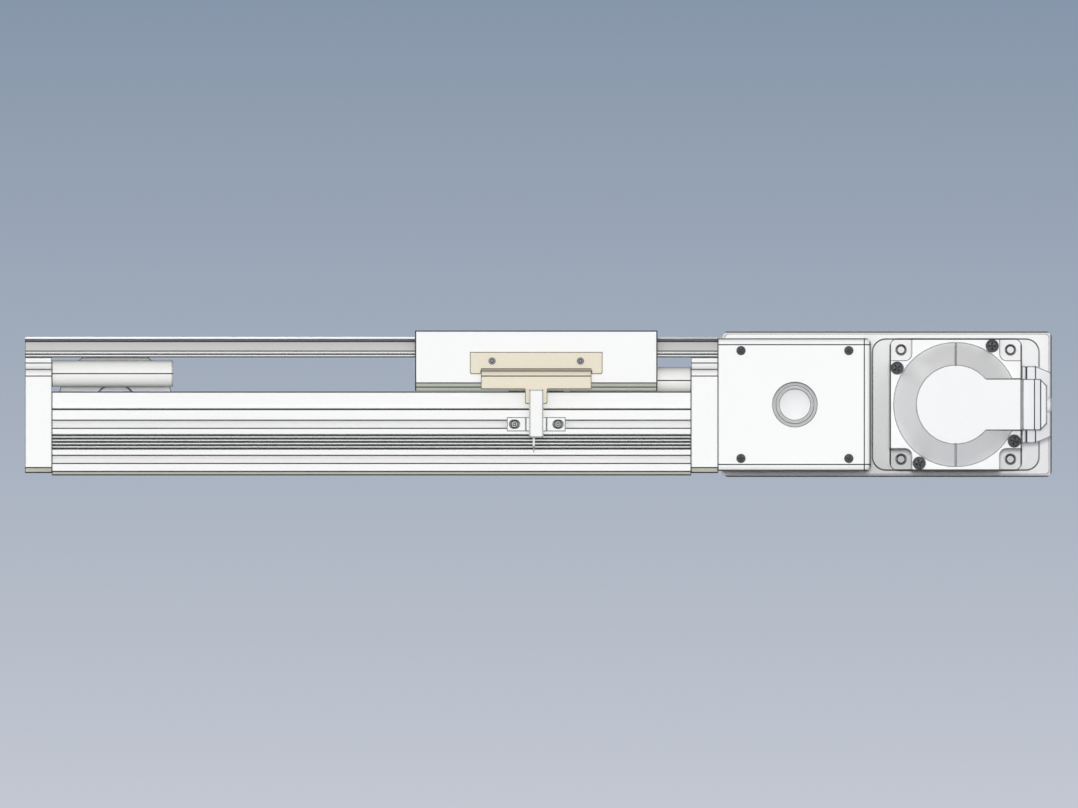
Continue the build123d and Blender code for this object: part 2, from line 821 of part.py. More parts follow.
# Buffers in the side slots, two at each end
buffer_chamfer = 0.4
for name, start, height in (
    ("idler_side_buffers", -profile_end, idler_buffer_height),
    ("drive_side_buffers", profile_end - buffer_length, drive_buffer_height),
):
    with BuildPart() as buffers:
        with BuildSketch(Plane.YZ.offset(start)):
            with Locations((-buffer_offset, height), (buffer_offset, height)):
                Circle(buffer_radius)
        extrude(amount=buffer_length)
        ends = buffers.faces().filter_by(Axis.X).group_by(Axis.X)
        free_end = ends[-1] if start < 0 else ends[0]
        chamfer(free_end.edges(), buffer_chamfer)
    buffers.part.label = name
    export_step(buffers.part, "parts/" + name + ".step")

# Idler: pulley on two bearings, on a fixed axle between two tension arms
axle_radius = 4.0
idler_bearing_radius = 9.5
idler_bearing_width = 6.0
arm_half_height = 5.4
arm_end = 6.0
arm_socket = 1.3
axle_chamfer = 0.4
idler_bearing_inset = 0.5
idler_bearing_chamfer = 0.3
with BuildPart() as tension_arms:
    for side in (-1, 1):
        with BuildSketch(facing(side * arm_middle + arm_thickness / 2, axis_height)):
            arm_start = -profile_end + running_clearance
            with Locations(((arm_start + idler_x) / 2, 0)):
                Rectangle(idler_x - arm_start, 2 * arm_half_height)
            with Locations((idler_x, 0)):
                Circle(arm_half_height)
                Circle(axle_radius + seat_clearance, mode=Mode.SUBTRACT)
        extrude(amount=arm_thickness)
    with Locations((-profile_end + arm_end / 2, 0, axis_height)):
        with GridLocations(1, 2 * arm_middle, 1, 2):
            Cylinder(
                arm_screw_radius + seat_clearance, 3 * arm_end,
                rotation=(0, 90, 0), mode=Mode.SUBTRACT,
            )
tension_arms.part.label = "tension_arms"
export_step(tension_arms.part, "parts/tension_arms.step")

arm_screw = socket_screw(
    arm_screw_radius, end_block_thickness - arm_screw_head_height + arm_end,
    arm_screw_head, arm_screw_head_height, arm_socket,
)
arm_screw_seat = arm_screw_head_height - block_end
with BuildPart() as tension_screws:
    for side in (-1, 1):
        with Locations(Location((arm_screw_seat, side * arm_middle, axis_height), (0, -90, 0))):
            add(arm_screw)
tension_screws.part.label = "tension_screws"
export_step(tension_screws.part, "parts/tension_screws.step")

with BuildPart() as idler_axle:
    with BuildSketch(facing(arm_outer, axis_height)):
        with Locations((idler_x, 0)):
            Circle(axle_radius)
    extrude(amount=2 * arm_outer)
    chamfer(idler_axle.edges().filter_by(GeomType.CIRCLE), axle_chamfer)
idler_axle.part.label = "idler_axle"
export_step(idler_axle.part, "parts/idler_axle.step")

idler = toothed_pulley(
    idler_x, drive_radius, drive_teeth, 90, axis_belt_width, 0, idler_bearing_radius
)
with BuildPart() as idler_pulley:
    add(idler)
idler_pulley.part.label = "idler_pulley"
export_step(idler_pulley.part, "parts/idler_pulley.step")

bearing_reach = pulley_half - idler_bearing_inset
with BuildPart() as idler_bearings:
    for front in (bearing_reach, idler_bearing_width - bearing_reach):
        with BuildSketch(facing(front, axis_height)):
            with Locations((idler_x, 0)):
                Circle(idler_bearing_radius - seat_clearance)
                Circle(axle_radius + running_clearance, mode=Mode.SUBTRACT)
        extrude(amount=idler_bearing_width)
    sides = idler_bearings.faces().filter_by(Axis.Y)
    chamfer(sides.edges().filter_by(GeomType.CIRCLE), idler_bearing_chamfer)
idler_bearings.part.label = "idler_bearings"
export_step(idler_bearings.part, "parts/idler_bearings.step")

# The long toothed belt of the axis
with BuildPart() as axis_belt:
    add(toothed_belt(
        idler_x, drive_radius, drive_x, drive_radius, axis_belt_teeth, axis_belt_width, 0
    ))
axis_belt.part.label = "axis_belt"
export_step(axis_belt.part, "parts/axis_belt.step")


# Drive head: a milled block that carries the driving pulley on two ball bearings
head_height = head_top - head_bottom
head_middle = (head_top + head_bottom) / 2
head_start = block_end
head_x = head_start + head_length / 2
cover_inner_face = side_cover_thickness - head_half_depth
cavity_radius = pulley_rim + pocket_gap
cavity_half = pulley_half + pocket_gap
spacer_length = 2.4
bearing_start = pulley_half + spacer_length
seat_reach = 2.0
spigot_gap = 1.0
screw_hole_gap = 1.0
head_screw_radius = 1.4
head_screw_length = 16.0
head_screw_head = 2.1
head_screw_height = 1.1
bolt_radius = 2.0
bolt_head = 3.5
bolt_head_height = 4.0
bolt_depth = 12.0
bolt_offset = 22.8


def head_outline():
    """Outline of the head from the side, rounded where it faces away from the profile."""
    with BuildSketch() as outline:
        with Locations((head_x, head_middle)):
            Rectangle(head_length, head_height)
        fillet(outline.vertices().group_by(Axis.X)[-1], head_edge_radius)
    return outline.sketch


outline = head_outline()
with BuildPart() as drive_head_housing:
    with BuildSketch(facing(head_half_depth)):
        add(outline)
    extrude(amount=head_half_depth - cover_inner_face)
    with BuildSketch(facing(cavity_half)):
        with Locations((drive_x, axis_height)):
            Circle(cavity_radius)
    extrude(amount=cavity_half - cover_inner_face, mode=Mode.SUBTRACT)
    with BuildSketch(facing(cavity_half)):
        with Locations(((head_start + drive_x) / 2, axis_height)):
            Rectangle(drive_x - head_start, 2 * cavity_radius)
    extrude(amount=2 * cavity_half, mode=Mode.SUBTRACT)
    with BuildSketch(facing(bearing_start + bearing_width)):
        with Locations((drive_x, axis_height)):
            Circle(bearing_outer_radius + seat_clearance)
    extrude(amount=bearing_width + seat_reach, mode=Mode.SUBTRACT)
    with BuildSketch(facing(head_half_depth)):
        with Locations((drive_x, axis_height)):
            Circle(side_opening_radius)
    extrude(amount=head_half_depth, mode=Mode.SUBTRACT)
    with Locations(facing(cover_inner_face)):
        with Locations((drive_x, axis_height)):
            with GridLocations(2 * head_screw_offset, 2 * head_screw_offset, 2, 2):
                Hole(
                    head_screw_radius + seat_clearance,
                    head_screw_length - side_cover_thickness + screw_hole_gap,
                )
    with Locations(Plane(facing(head_half_depth).origin, x_dir=(-1, 0, 0), z_dir=(0, 1, 0))):
        with Locations((-drive_x, axis_height)):
            with GridLocations(2 * bolt_offset, 2 * bolt_offset, 2, 2):
                Hole(bolt_radius + seat_clearance, bolt_depth + screw_hole_gap)
drive_head_housing.part.label = "drive_head_housing"
export_step(drive_head_housing.part, "parts/drive_head_housing.step")

with BuildPart() as drive_head_cover:
    with BuildSketch(facing(cover_inner_face)):
        add(outline)
    extrude(amount=side_cover_thickness)
    front = drive_head_cover.faces().sort_by(Axis.Y)[0]
    left_edge = front.edges().sort_by(Axis.X)[0]
    rounded = [edge for edge in front.edges() if edge != left_edge]
    fillet(rounded, head_edge_radius - seat_clearance)
    spigot_end = spigot_gap - bearing_start
    with BuildSketch(facing(spigot_end)):
        with Locations((drive_x, axis_height)):
            Circle(cavity_radius - running_clearance)
    extrude(amount=spigot_end - cover_inner_face)
    with BuildSketch(facing(spigot_end)):
        with Locations((drive_x, axis_height)):
            Circle(bearing_outer_radius + seat_clearance)
    extrude(amount=spigot_end + bearing_start + bearing_width, mode=Mode.SUBTRACT)
    with BuildSketch(facing(spigot_end)):
        with Locations((drive_x, axis_height)):
            Circle(side_opening_radius)
    extrude(amount=head_half_depth, mode=Mode.SUBTRACT)
    with BuildSketch(facing(cover_inner_face)):
        with Locations((drive_x, axis_height)):
            with GridLocations(2 * head_screw_offset, 2 * head_screw_offset, 2, 2):
                Circle(head_screw_radius + seat_clearance)
    extrude(amount=side_cover_thickness, mode=Mode.SUBTRACT)
drive_head_cover.part.label = "drive_head_cover"
export_step(drive_head_cover.part, "parts/drive_head_cover.step")

head_screw = cross_screw(head_screw_radius, head_screw_length, head_screw_head, head_screw_height)
with BuildPart(facing(-head_half_depth)) as drive_head_screws:
    with Locations((drive_x, axis_height)):
        with GridLocations(2 * head_screw_offset, 2 * head_screw_offset, 2, 2):
            add(head_screw)
drive_head_screws.part.label = "drive_head_screws"
export_step(drive_head_screws.part, "parts/drive_head_screws.step")


shield_share = 0.22
shield_depth = 0.4


def ball_bearing(x, front, width, outer, bore):
    """A closed ball bearing along Y whose sensor side face is at Y = front."""
    with BuildPart() as bearing:
        with BuildSketch(facing(front + width, axis_height)):
            with Locations((x, 0)):
                Circle(outer)
                Circle(bore, mode=Mode.SUBTRACT)
        extrude(amount=width)
        recess = (outer - bore) * shield_share
        for side in (front + shield_depth, front + width):
            with BuildSketch(facing(side, axis_height)):
                with Locations((x, 0)):
                    Circle(outer - recess)
                    Circle(bore + recess, mode=Mode.SUBTRACT)
            extrude(amount=shield_depth, mode=Mode.SUBTRACT)
    return bearing.part


for name, front in (
    ("drive_bearing_near", -bearing_start - bearing_width), ("drive_bearing_far", bearing_start)
):
    with BuildPart() as drive_bearing:
        add(ball_bearing(
            drive_x, front, bearing_width, bearing_outer_radius, shaft_radius + running_clearance
        ))
    drive_bearing.part.label = name
    export_step(drive_bearing.part, "parts/" + name + ".step")

# Drive shaft with its two pulleys
belt_outside = driven_radius - pitch_line_depth + belt_backing
housing_height = 2 * (belt_outside + belt_room + housing_wall)
housing_length = housing_drive_reach + reduction_distance + housing_motor_reach
housing_x = (drive_x - housing_drive_reach + motor_x + housing_motor_reach) / 2
housing_middle = axis_height + housing_lift
housing_face = head_half_depth
housing_back = housing_face + housing_depth
belt_middle = (housing_face + housing_back) / 2
reduction_half = reduction_belt_width / 2 + pulley_side_clearance + flange_thickness
shaft_set_back = 0.6
shaft_chamfer = 0.5
shaft_shoulder = shaft_radius + 2.5
shaft_front = shaft_set_back - head_half_depth
shaft_back = belt_middle + reduction_half
with BuildPart() as drive_shaft:
    with BuildSketch(facing(shaft_back, axis_height)):
        with Locations((drive_x, 0)):
            Circle(shaft_radius)
    extrude(amount=shaft_back - shaft_front)
    with Locations(facing(shaft_front)):
        with Locations((drive_x, axis_height)):
            Hole(shaft_bore_radius, shaft_bore_depth)
    with Locations(Plane((0, shaft_back, 0), x_dir=(-1, 0, 0), z_dir=(0, 1, 0))):
        with Locations((-drive_x, axis_height)):
            Hole(bolt_radius + seat_clearance, bolt_depth)
    chamfer(drive_shaft.faces().sort_by(Axis.Y)[0].edges(), shaft_chamfer)
drive_shaft.part.label = "drive_shaft"
export_step(drive_shaft.part, "parts/drive_shaft.step")

with BuildPart() as drive_pulley:
    add(toothed_pulley(
        drive_x, drive_radius, drive_teeth,
        first_groove(drive_radius, drive_radius, axis_distance),
        axis_belt_width, 0, shaft_radius + seat_clearance,
    ))
drive_pulley.part.label = "drive_pulley"
export_step(drive_pulley.part, "parts/drive_pulley.step")

with BuildPart() as shaft_spacers:
    for front in (pulley_half + running_clearance, running_clearance - bearing_start):
        with BuildSketch(facing(front + spacer_length - 2 * running_clearance, axis_height)):
            with Locations((drive_x, 0)):
                Circle(shaft_shoulder)
                Circle(shaft_radius + seat_clearance, mode=Mode.SUBTRACT)
        extrude(amount=spacer_length - 2 * running_clearance)
shaft_spacers.part.label = "shaft_spacers"
export_step(shaft_spacers.part, "parts/shaft_spacers.step")

reduction_lean = degrees(asin((driven_radius - motor_radius) / reduction_distance))
with BuildPart() as driven_pulley:
    add(toothed_pulley(
        drive_x, driven_radius, driven_teeth, 90 - reduction_lean,
        reduction_belt_width, belt_middle, shaft_radius + seat_clearance,
    ))
driven_pulley.part.label = "driven_pulley"
export_step(driven_pulley.part, "parts/driven_pulley.step")

washer_thickness = 1.6
with BuildPart() as shaft_end_washer:
    with BuildSketch(facing(shaft_back + washer_thickness, axis_height)):
        with Locations((drive_x, 0)):
            Circle(shaft_shoulder)
            Circle(bolt_radius + seat_clearance, mode=Mode.SUBTRACT)
    extrude(amount=washer_thickness)
shaft_end_washer.part.label = "shaft_end_washer"
export_step(shaft_end_washer.part, "parts/shaft_end_washer.step")

shaft_screw_head_height = 1.6
shaft_screw_socket = 1.3
shaft_screw_grip = 1.5
shaft_screw = socket_screw(
    bolt_radius, bolt_depth + shaft_screw_grip, bolt_head, shaft_screw_head_height,
    shaft_screw_socket,
)
with BuildPart() as shaft_end_screw:
    with Locations(Location((drive_x, shaft_back + washer_thickness, axis_height), (-90, 0, 0))):
        add(shaft_screw)
shaft_end_screw.part.label = "shaft_end_screw"
export_step(shaft_end_screw.part, "parts/shaft_end_screw.step")

with BuildPart() as reduction_belt:
    add(toothed_belt(
        drive_x, driven_radius, motor_x, motor_radius,
        reduction_belt_teeth, reduction_belt_width, belt_middle,
    ))
reduction_belt.part.label = "reduction_belt"
export_step(reduction_belt.part, "parts/reduction_belt.step")

# Reduction housing with a raised pad for the motor, and its lid
lid_screw_radius = 1.5
lid_screw_inset = 5.6
lid_screw_depth = 12.0
cavity_corner = 10.0
lid_face = housing_back - lid_thickness
motor_face = housing_face - pad_height
with BuildPart() as belt_housing:
    with BuildSketch(facing(lid_face)):
        with Locations((housing_x, housing_middle)):
            RectangleRounded(housing_length, housing_height, housing_corner)
    extrude(amount=lid_face - housing_face)
    chamfer(belt_housing.faces().sort_by(Axis.Y)[0].edges(), housing_edge)
    with BuildSketch(facing(housing_face)):
        with Locations((motor_x, axis_height)):
            RectangleRounded(2 * pad_half_width, 2 * pad_half_height, pad_corner)
    extrude(amount=pad_height)
    with BuildSketch(facing(lid_face)):
        with Locations((housing_x, housing_middle)):
            RectangleRounded(
                housing_length - 2 * housing_wall, housing_height - 2 * housing_wall, cavity_corner
            )
    extrude(amount=lid_face - housing_face - housing_wall, mode=Mode.SUBTRACT)
    with BuildSketch(facing(lid_face)):
        with Locations((drive_x, axis_height)):
            Circle(side_opening_radius)
            with GridLocations(2 * bolt_offset, 2 * bolt_offset, 2, 2):
                Circle(bolt_radius + seat_clearance)
        with Locations((motor_x, axis_height)):
            Circle(motor_pilot_radius + seat_clearance)
            with GridLocations(2 * motor_hole_offset, 2 * motor_hole_offset, 2, 2):
                Circle(motor_hole_radius)
    extrude(amount=lid_face - motor_face, mode=Mode.SUBTRACT)
    with BuildSketch(facing(lid_face)):
        with Locations((housing_x, housing_middle)):
            with GridLocations(
                housing_length - 2 * lid_screw_inset, housing_height - 2 * lid_screw_inset, 2, 2
            ):
                Circle(lid_screw_radius + seat_clearance)
    extrude(amount=lid_screw_depth - lid_thickness + screw_hole_gap, mode=Mode.SUBTRACT)
belt_housing.part.label = "belt_housing"
export_step(belt_housing.part, "parts/belt_housing.step")

lid_screw_head = 2.75
lid_screw_head_height = 2.0
lid_screw_socket = 1.1
with BuildPart() as belt_housing_lid:
    with BuildSketch(facing(housing_back)):
        with Locations((housing_x, housing_middle)):
            RectangleRounded(housing_length, housing_height, housing_corner)
            with GridLocations(
                housing_length - 2 * lid_screw_inset, housing_height - 2 * lid_screw_inset, 2, 2
            ):
                Circle(lid_screw_radius + seat_clearance, mode=Mode.SUBTRACT)
    extrude(amount=lid_thickness)
    rim = belt_housing_lid.faces().sort_by(Axis.Y)[-1].outer_wire().edges()
    chamfer(rim, housing_edge)
    with BuildSketch(facing(housing_back)):
        with Locations((housing_x, housing_middle)):
            with GridLocations(
                housing_length - 2 * lid_screw_inset, housing_height - 2 * lid_screw_inset, 2, 2
            ):
                Circle(lid_screw_head + seat_clearance)
    extrude(amount=lid_screw_head_height, mode=Mode.SUBTRACT)
belt_housing_lid.part.label = "belt_housing_lid"
export_step(belt_housing_lid.part, "parts/belt_housing_lid.step")

lid_screw = socket_screw(
    lid_screw_radius, lid_screw_depth - lid_screw_head_height,
    lid_screw_head, lid_screw_head_height, lid_screw_socket,
)
back_plane = Plane((0, housing_back - lid_screw_head_height, 0), x_dir=(-1, 0, 0), z_dir=(0, 1, 0))
with BuildPart(back_plane) as lid_screws:
    with Locations((-housing_x, housing_middle)):
        with GridLocations(
            housing_length - 2 * lid_screw_inset, housing_height - 2 * lid_screw_inset, 2, 2
        ):
            add(lid_screw)
lid_screws.part.label = "lid_screws"
export_step(lid_screws.part, "parts/lid_screws.step")

# Bolts seated inside the housing: four into the head, four through the motor flange
inner_plane = Plane((0, housing_face + housing_wall, 0), x_dir=(-1, 0, 0), z_dir=(0, 1, 0))
bolt_socket = 1.7
head_bolt = socket_screw(
    bolt_radius, housing_wall + bolt_depth, bolt_head, bolt_head_height, bolt_socket
)
with BuildPart(inner_plane) as head_bolts:
    with Locations((-drive_x, axis_height)):
        with GridLocations(2 * bolt_offset, 2 * bolt_offset, 2, 2):
            add(head_bolt)
head_bolts.part.label = "head_bolts"
export_step(head_bolts.part, "parts/head_bolts.step")

motor_bolt_radius = 1.85
bolt_end_gap = 0.5
motor_bolt = socket_screw(
    motor_bolt_radius, housing_wall + pad_height + motor_flange_thickness - bolt_end_gap,
    bolt_head, bolt_head_height, bolt_socket,
)
with BuildPart(inner_plane) as motor_bolts:
    with Locations((-motor_x, axis_height)):
        with GridLocations(2 * motor_hole_offset, 2 * motor_hole_offset, 2, 2):
            add(motor_bolt)
motor_bolts.part.label = "motor_bolts"
export_step(motor_bolts.part, "parts/motor_bolts.step")


# Servo motor, hanging on the pad with its rear cover towards the sensor side
flange_front = motor_face - motor_flange_thickness
body_front = flange_front - motor_body_length
plate_thickness = 6.0
plate_front = body_front - plate_thickness
motor_front = body_front - motor_cover_length
motor_bearing_outer = 13.0
motor_bearing_width = 6.0
rotor_radius = 19.0
rotor_gap = 1.0
rear_journal = 5.0
rear_bearing_outer = 9.5
rotor_end_gap = 6.0
pocket_corner = 3.0
shaft_hole_gap = 1.0


def motor_section():
    """The motor's square section with a pocket at each corner for the flange bolts."""
    with BuildSketch() as section:
        with Locations((motor_x, axis_height)):
            RectangleRounded(2 * motor_half_width, 2 * motor_half_width, motor_corner)
            with GridLocations(2 * motor_half_width, 2 * motor_half_width, 2, 2):
                RectangleRounded(
                    2 * motor_pocket, 2 * motor_pocket, pocket_corner, mode=Mode.SUBTRACT
                )
    return section.sketch


with BuildPart() as motor_flange:
    with BuildSketch(facing(motor_face)):
        with Locations((motor_x, axis_height)):
            RectangleRounded(2 * motor_half_width, 2 * motor_half_width, motor_corner)
            with GridLocations(2 * motor_hole_offset, 2 * motor_hole_offset, 2, 2):
                Circle(motor_hole_radius, mode=Mode.SUBTRACT)
    extrude(amount=motor_flange_thickness)
    with BuildSketch(facing(motor_face + motor_pilot_height)):
        with Locations((motor_x, axis_height)):
            Circle(motor_pilot_radius)
    extrude(amount=motor_pilot_height)
    with BuildSketch(facing(motor_face + motor_pilot_height)):
        with Locations((motor_x, axis_height)):
            Circle(motor_shaft_radius + shaft_hole_gap)
    extrude(amount=2 * motor_flange_thickness, mode=Mode.SUBTRACT)
    with BuildSketch(facing(flange_front + motor_bearing_width)):
        with Locations((motor_x, axis_height)):
            Circle(motor_bearing_outer + seat_clearance)
    extrude(amount=motor_bearing_width, mode=Mode.SUBTRACT)
motor_flange.part.label = "motor_flange"
export_step(motor_flange.part, "parts/motor_flange.step")

section = motor_section()
with BuildPart() as motor_body:
    with BuildSketch(facing(flange_front)):
        add(section)
        with Locations((motor_x, axis_height)):
            Circle(rotor_radius + rotor_gap, mode=Mode.SUBTRACT)
    extrude(amount=motor_body_length)
motor_body.part.label = "motor_body"
export_step(motor_body.part, "parts/motor_body.step")

motor_screw_long = 26.5
motor_screw_short = 16.5
motor_screw_places = (
    (motor_screw_short, motor_screw_long),
    (-motor_screw_long, motor_screw_short),
    (motor_screw_long, -motor_screw_short),
    (-motor_screw_short, -motor_screw_long),
)
motor_screw_radius = 1.4
motor_screw_head = 3.0
motor_screw_height = 1.8
neck_length = 30.3
neck_depth = motor_cover_length - plate_thickness
seam_width = 0.4
seam_depth = 0.3
with BuildPart() as motor_rear_cover:
    with BuildSketch(facing(body_front)):
        add(section)
        with Locations((motor_x, axis_height)):
            with Locations(*motor_screw_places):
                Circle(motor_screw_radius + seat_clearance, mode=Mode.SUBTRACT)
    extrude(amount=plate_thickness)
    with BuildSketch(facing(plate_front)):
        with Locations((motor_x, axis_height)):
            Circle(cover_cone_radius)
    with BuildSketch(facing(motor_front)):
        with Locations((motor_x, axis_height)):
            Circle(cover_face_radius)
    loft()
    with BuildSketch(facing(plate_front)):
        with Locations((motor_x + neck_length / 2, axis_height)):
            Rectangle(neck_length, 2 * neck_half_height)
    extrude(amount=neck_depth)
    with BuildSketch(Plane.YZ.offset(motor_x - seam_width / 2)):
        for side in (-1, 1):
            with BuildLine():
                Polyline(
                    (plate_front, axis_height + side * cover_cone_radius),
                    (motor_front, axis_height + side * cover_face_radius),
                    (motor_front, axis_height + side * (cover_face_radius - seam_depth)),
                    (plate_front, axis_height + side * (cover_cone_radius - seam_depth)),
                    close=True,
                )
            make_face()
    extrude(amount=seam_width, mode=Mode.SUBTRACT)
    with BuildSketch(facing(body_front)):
        with Locations((motor_x, axis_height)):
            Circle(rear_bearing_outer + seat_clearance)
    extrude(amount=motor_bearing_width, mode=Mode.SUBTRACT)
motor_rear_cover.part.label = "motor_rear_cover"
export_step(motor_rear_cover.part, "parts/motor_rear_cover.step")

cover_screw = cross_screw(
    motor_screw_radius, plate_thickness - bolt_end_gap, motor_screw_head, motor_screw_height
)
with BuildPart(facing(plate_front)) as motor_cover_screws:
    with Locations((motor_x, axis_height)):
        with Locations(*motor_screw_places):
            add(cover_screw)
motor_cover_screws.part.label = "motor_cover_screws"
export_step(motor_cover_screws.part, "parts/motor_cover_screws.step")

# Connectors on the motor's free side
signal_length = 11.0
signal_chamfer = 3.0
signal_set_back = 2.0
signal_step = 1.0
power_half_height = 17.4
power_end_half = 14.6
power_straight = 5.4
power_length = 13.0
power_depth = 24.0
power_corner = 1.5
power_set_back = 2.0
power_front = plate_front + power_set_back
with BuildPart() as signal_connector:
    with BuildSketch(facing(plate_front - signal_set_back)):
        with Locations((motor_x + neck_length + signal_length / 2, axis_height)):
            Rectangle(signal_length, 2 * neck_half_height)
    extrude(amount=neck_depth - signal_set_back - signal_step)
    ends = signal_connector.edges().filter_by(Axis.Y).group_by(Axis.X)[-1]
    chamfer(ends, signal_chamfer)
signal_connector.part.label = "signal_connector"
export_step(signal_connector.part, "parts/signal_connector.step")

side_x = motor_x + motor_half_width
with BuildPart() as power_connector:
    with BuildSketch(facing(power_front + power_depth)):
        with BuildLine():
            Polyline(
                (side_x, axis_height - power_half_height),
                (side_x + power_straight, axis_height - power_half_height),
                (side_x + power_length, axis_height - power_end_half),
                (side_x + power_length, axis_height + power_end_half),
                (side_x + power_straight, axis_height + power_half_height),
                (side_x, axis_height + power_half_height),
                close=True,
            )
        make_face()
    extrude(amount=power_depth)
    long_edges = power_connector.edges().filter_by(Axis.Z).group_by(Axis.X)[-1]
    fillet(long_edges, power_corner)
power_connector.part.label = "power_connector"
export_step(power_connector.part, "parts/power_connector.step")

# Motor shaft, rotor and their bearings
rotor_start = body_front + rotor_end_gap
rotor_length = motor_body_length - 2 * rotor_end_gap
with BuildPart() as motor_shaft:
    with BuildSketch(facing(belt_middle + reduction_half, axis_height)):
        with Locations((motor_x, 0)):
            Circle(motor_shaft_radius)
    extrude(amount=belt_middle + reduction_half - rotor_start)
    with BuildSketch(facing(rotor_start, axis_height)):
        with Locations((motor_x, 0)):
            Circle(rear_journal)
    extrude(amount=rotor_end_gap + motor_bearing_width - bolt_end_gap)
motor_shaft.part.label = "motor_shaft"
export_step(motor_shaft.part, "parts/motor_shaft.step")

with BuildPart() as motor_rotor_core:
    with BuildSketch(facing(rotor_start + rotor_length, axis_height)):
        with Locations((motor_x, 0)):
            Circle(rotor_radius)
            Circle(motor_shaft_radius + seat_clearance, mode=Mode.SUBTRACT)
    extrude(amount=rotor_length)
motor_rotor_core.part.label = "motor_rotor_core"
export_step(motor_rotor_core.part, "parts/motor_rotor_core.step")

with BuildPart() as motor_bearings:
    add(ball_bearing(
        motor_x, flange_front, motor_bearing_width, motor_bearing_outer,
        motor_shaft_radius + running_clearance,
    ))
    add(ball_bearing(
        motor_x, body_front - motor_bearing_width, motor_bearing_width, rear_bearing_outer,
        rear_journal + running_clearance,
    ))
motor_bearings.part.label = "motor_bearings"
export_step(motor_bearings.part, "parts/motor_bearings.step")

with BuildPart() as motor_pulley:
    add(toothed_pulley(
        motor_x, motor_radius, motor_teeth,
        first_groove(driven_radius, motor_radius, reduction_distance),
        reduction_belt_width, belt_middle, motor_shaft_radius + seat_clearance,
    ))
motor_pulley.part.label = "motor_pulley"
export_step(motor_pulley.part, "parts/motor_pulley.step")


# Flag: bent sheet steel on the carriage's face, stepped out over the base's edge
flag_front = -carriage_half_width - flag_thickness
outer_bend = flag_inner_bend + flag_thickness
tab_front = flag_front - flag_inner_bend - outer_bend
tab_back = tab_front + flag_thickness
bend_top = flag_offset_top - flag_inner_bend
bend_low = bend_top - outer_bend
with BuildPart() as sensor_flag:
    with BuildSketch(facing(-carriage_half_width)) as upper_plate:
        with Locations((carriage_x, (flag_top + flag_bottom) / 2)):
            Rectangle(flag_length, flag_top - flag_bottom)
        fillet(upper_plate.vertices().group_by(Axis.Y)[0], flag_corner)
        with Locations((carriage_x, flag_screw_height)):
            with GridLocations(flag_screw_spacing, 1, 2, 1):
                Circle(flag_screw_radius + seat_clearance, mode=Mode.SUBTRACT)
    extrude(amount=flag_thickness)
    with BuildSketch(Plane.YZ.offset(carriage_x - flag_offset_length / 2)):
        with BuildLine():
            Line((-carriage_half_width, flag_offset_top), (flag_front, flag_offset_top))
            CenterArc(
                (flag_front - flag_inner_bend, flag_offset_top), flag_inner_bend, 0, -90
            )
            CenterArc(
                (flag_front - flag_inner_bend, bend_low), outer_bend, 90, 90
            )
            Line((tab_front, bend_low), (tab_front, flag_offset_bottom))
            Line((tab_front, flag_offset_bottom), (tab_back, flag_offset_bottom))
            Line((tab_back, flag_offset_bottom), (tab_back, bend_low))
            CenterArc(
                (flag_front - flag_inner_bend, bend_low), flag_inner_bend, 180, -90
            )
            Polyline(
                (flag_front - flag_inner_bend, bend_low + flag_inner_bend),
                (-carriage_half_width, bend_low + flag_inner_bend),
                (-carriage_half_width, flag_offset_top),
            )
        make_face()
    extrude(amount=flag_offset_length)
    with BuildSketch(facing(tab_back)) as tab:
        with Locations((carriage_x, (flag_tab_bottom + flag_offset_bottom) / 2)):
            Rectangle(flag_tab_width, flag_offset_bottom - flag_tab_bottom)
        fillet(tab.vertices().group_by(Axis.Y)[0], flag_corner)
    extrude(amount=flag_thickness)
sensor_flag.part.label = "sensor_flag"
export_step(sensor_flag.part, "parts/sensor_flag.step")

flag_screw_socket = 0.8
flag_screw = socket_screw(
    flag_screw_radius, flag_thickness + carriage_wall - screw_hole_gap, flag_screw_head,
    flag_screw_head_height, flag_screw_socket,
)
with BuildPart(facing(flag_front)) as flag_screws:
    with Locations((carriage_x, flag_screw_height)):
        with GridLocations(flag_screw_spacing, 1, 2, 1):
            add(flag_screw)
flag_screws.part.label = "flag_screws"
export_step(flag_screws.part, "parts/flag_screws.step")


# Limit sensor on its bracket over the upper T-slot, reached by the flag at the home end
sensor_x = carriage_x
sensor_edge = 0.4
sensor_back = tab_front - sensor_gap
base_face = -profile_half_width
with BuildPart() as sensor_bracket:
    with BuildSketch(Plane.XY.offset(upper_slot_height - bracket_height / 2)):
        with BuildLine() as hat:
            Polyline(
                (sensor_x, sensor_back),
                (sensor_x + sensor_width / 2 + bracket_thickness, sensor_back),
                (sensor_x + sensor_width / 2 + bracket_thickness, base_face - bracket_thickness),
                (sensor_x + bracket_length / 2, base_face - bracket_thickness),
                (sensor_x + bracket_length / 2, base_face),
                (sensor_x + sensor_width / 2, base_face),
                (sensor_x + sensor_width / 2, sensor_back + bracket_thickness),
                (sensor_x, sensor_back + bracket_thickness),
            )
            mirror(hat.line, about=Plane.YZ.offset(sensor_x))
        make_face()
    extrude(amount=bracket_height)
    with BuildSketch(facing(base_face)):
        with Locations((sensor_x, upper_slot_height)):
            with GridLocations(2 * bracket_hole_offset, 1, 2, 1):
                SlotOverall(bracket_slot_length, bracket_slot_width)
    extrude(amount=bracket_thickness, mode=Mode.SUBTRACT)
sensor_bracket.part.label = "sensor_bracket"
export_step(sensor_bracket.part, "parts/sensor_bracket.step")

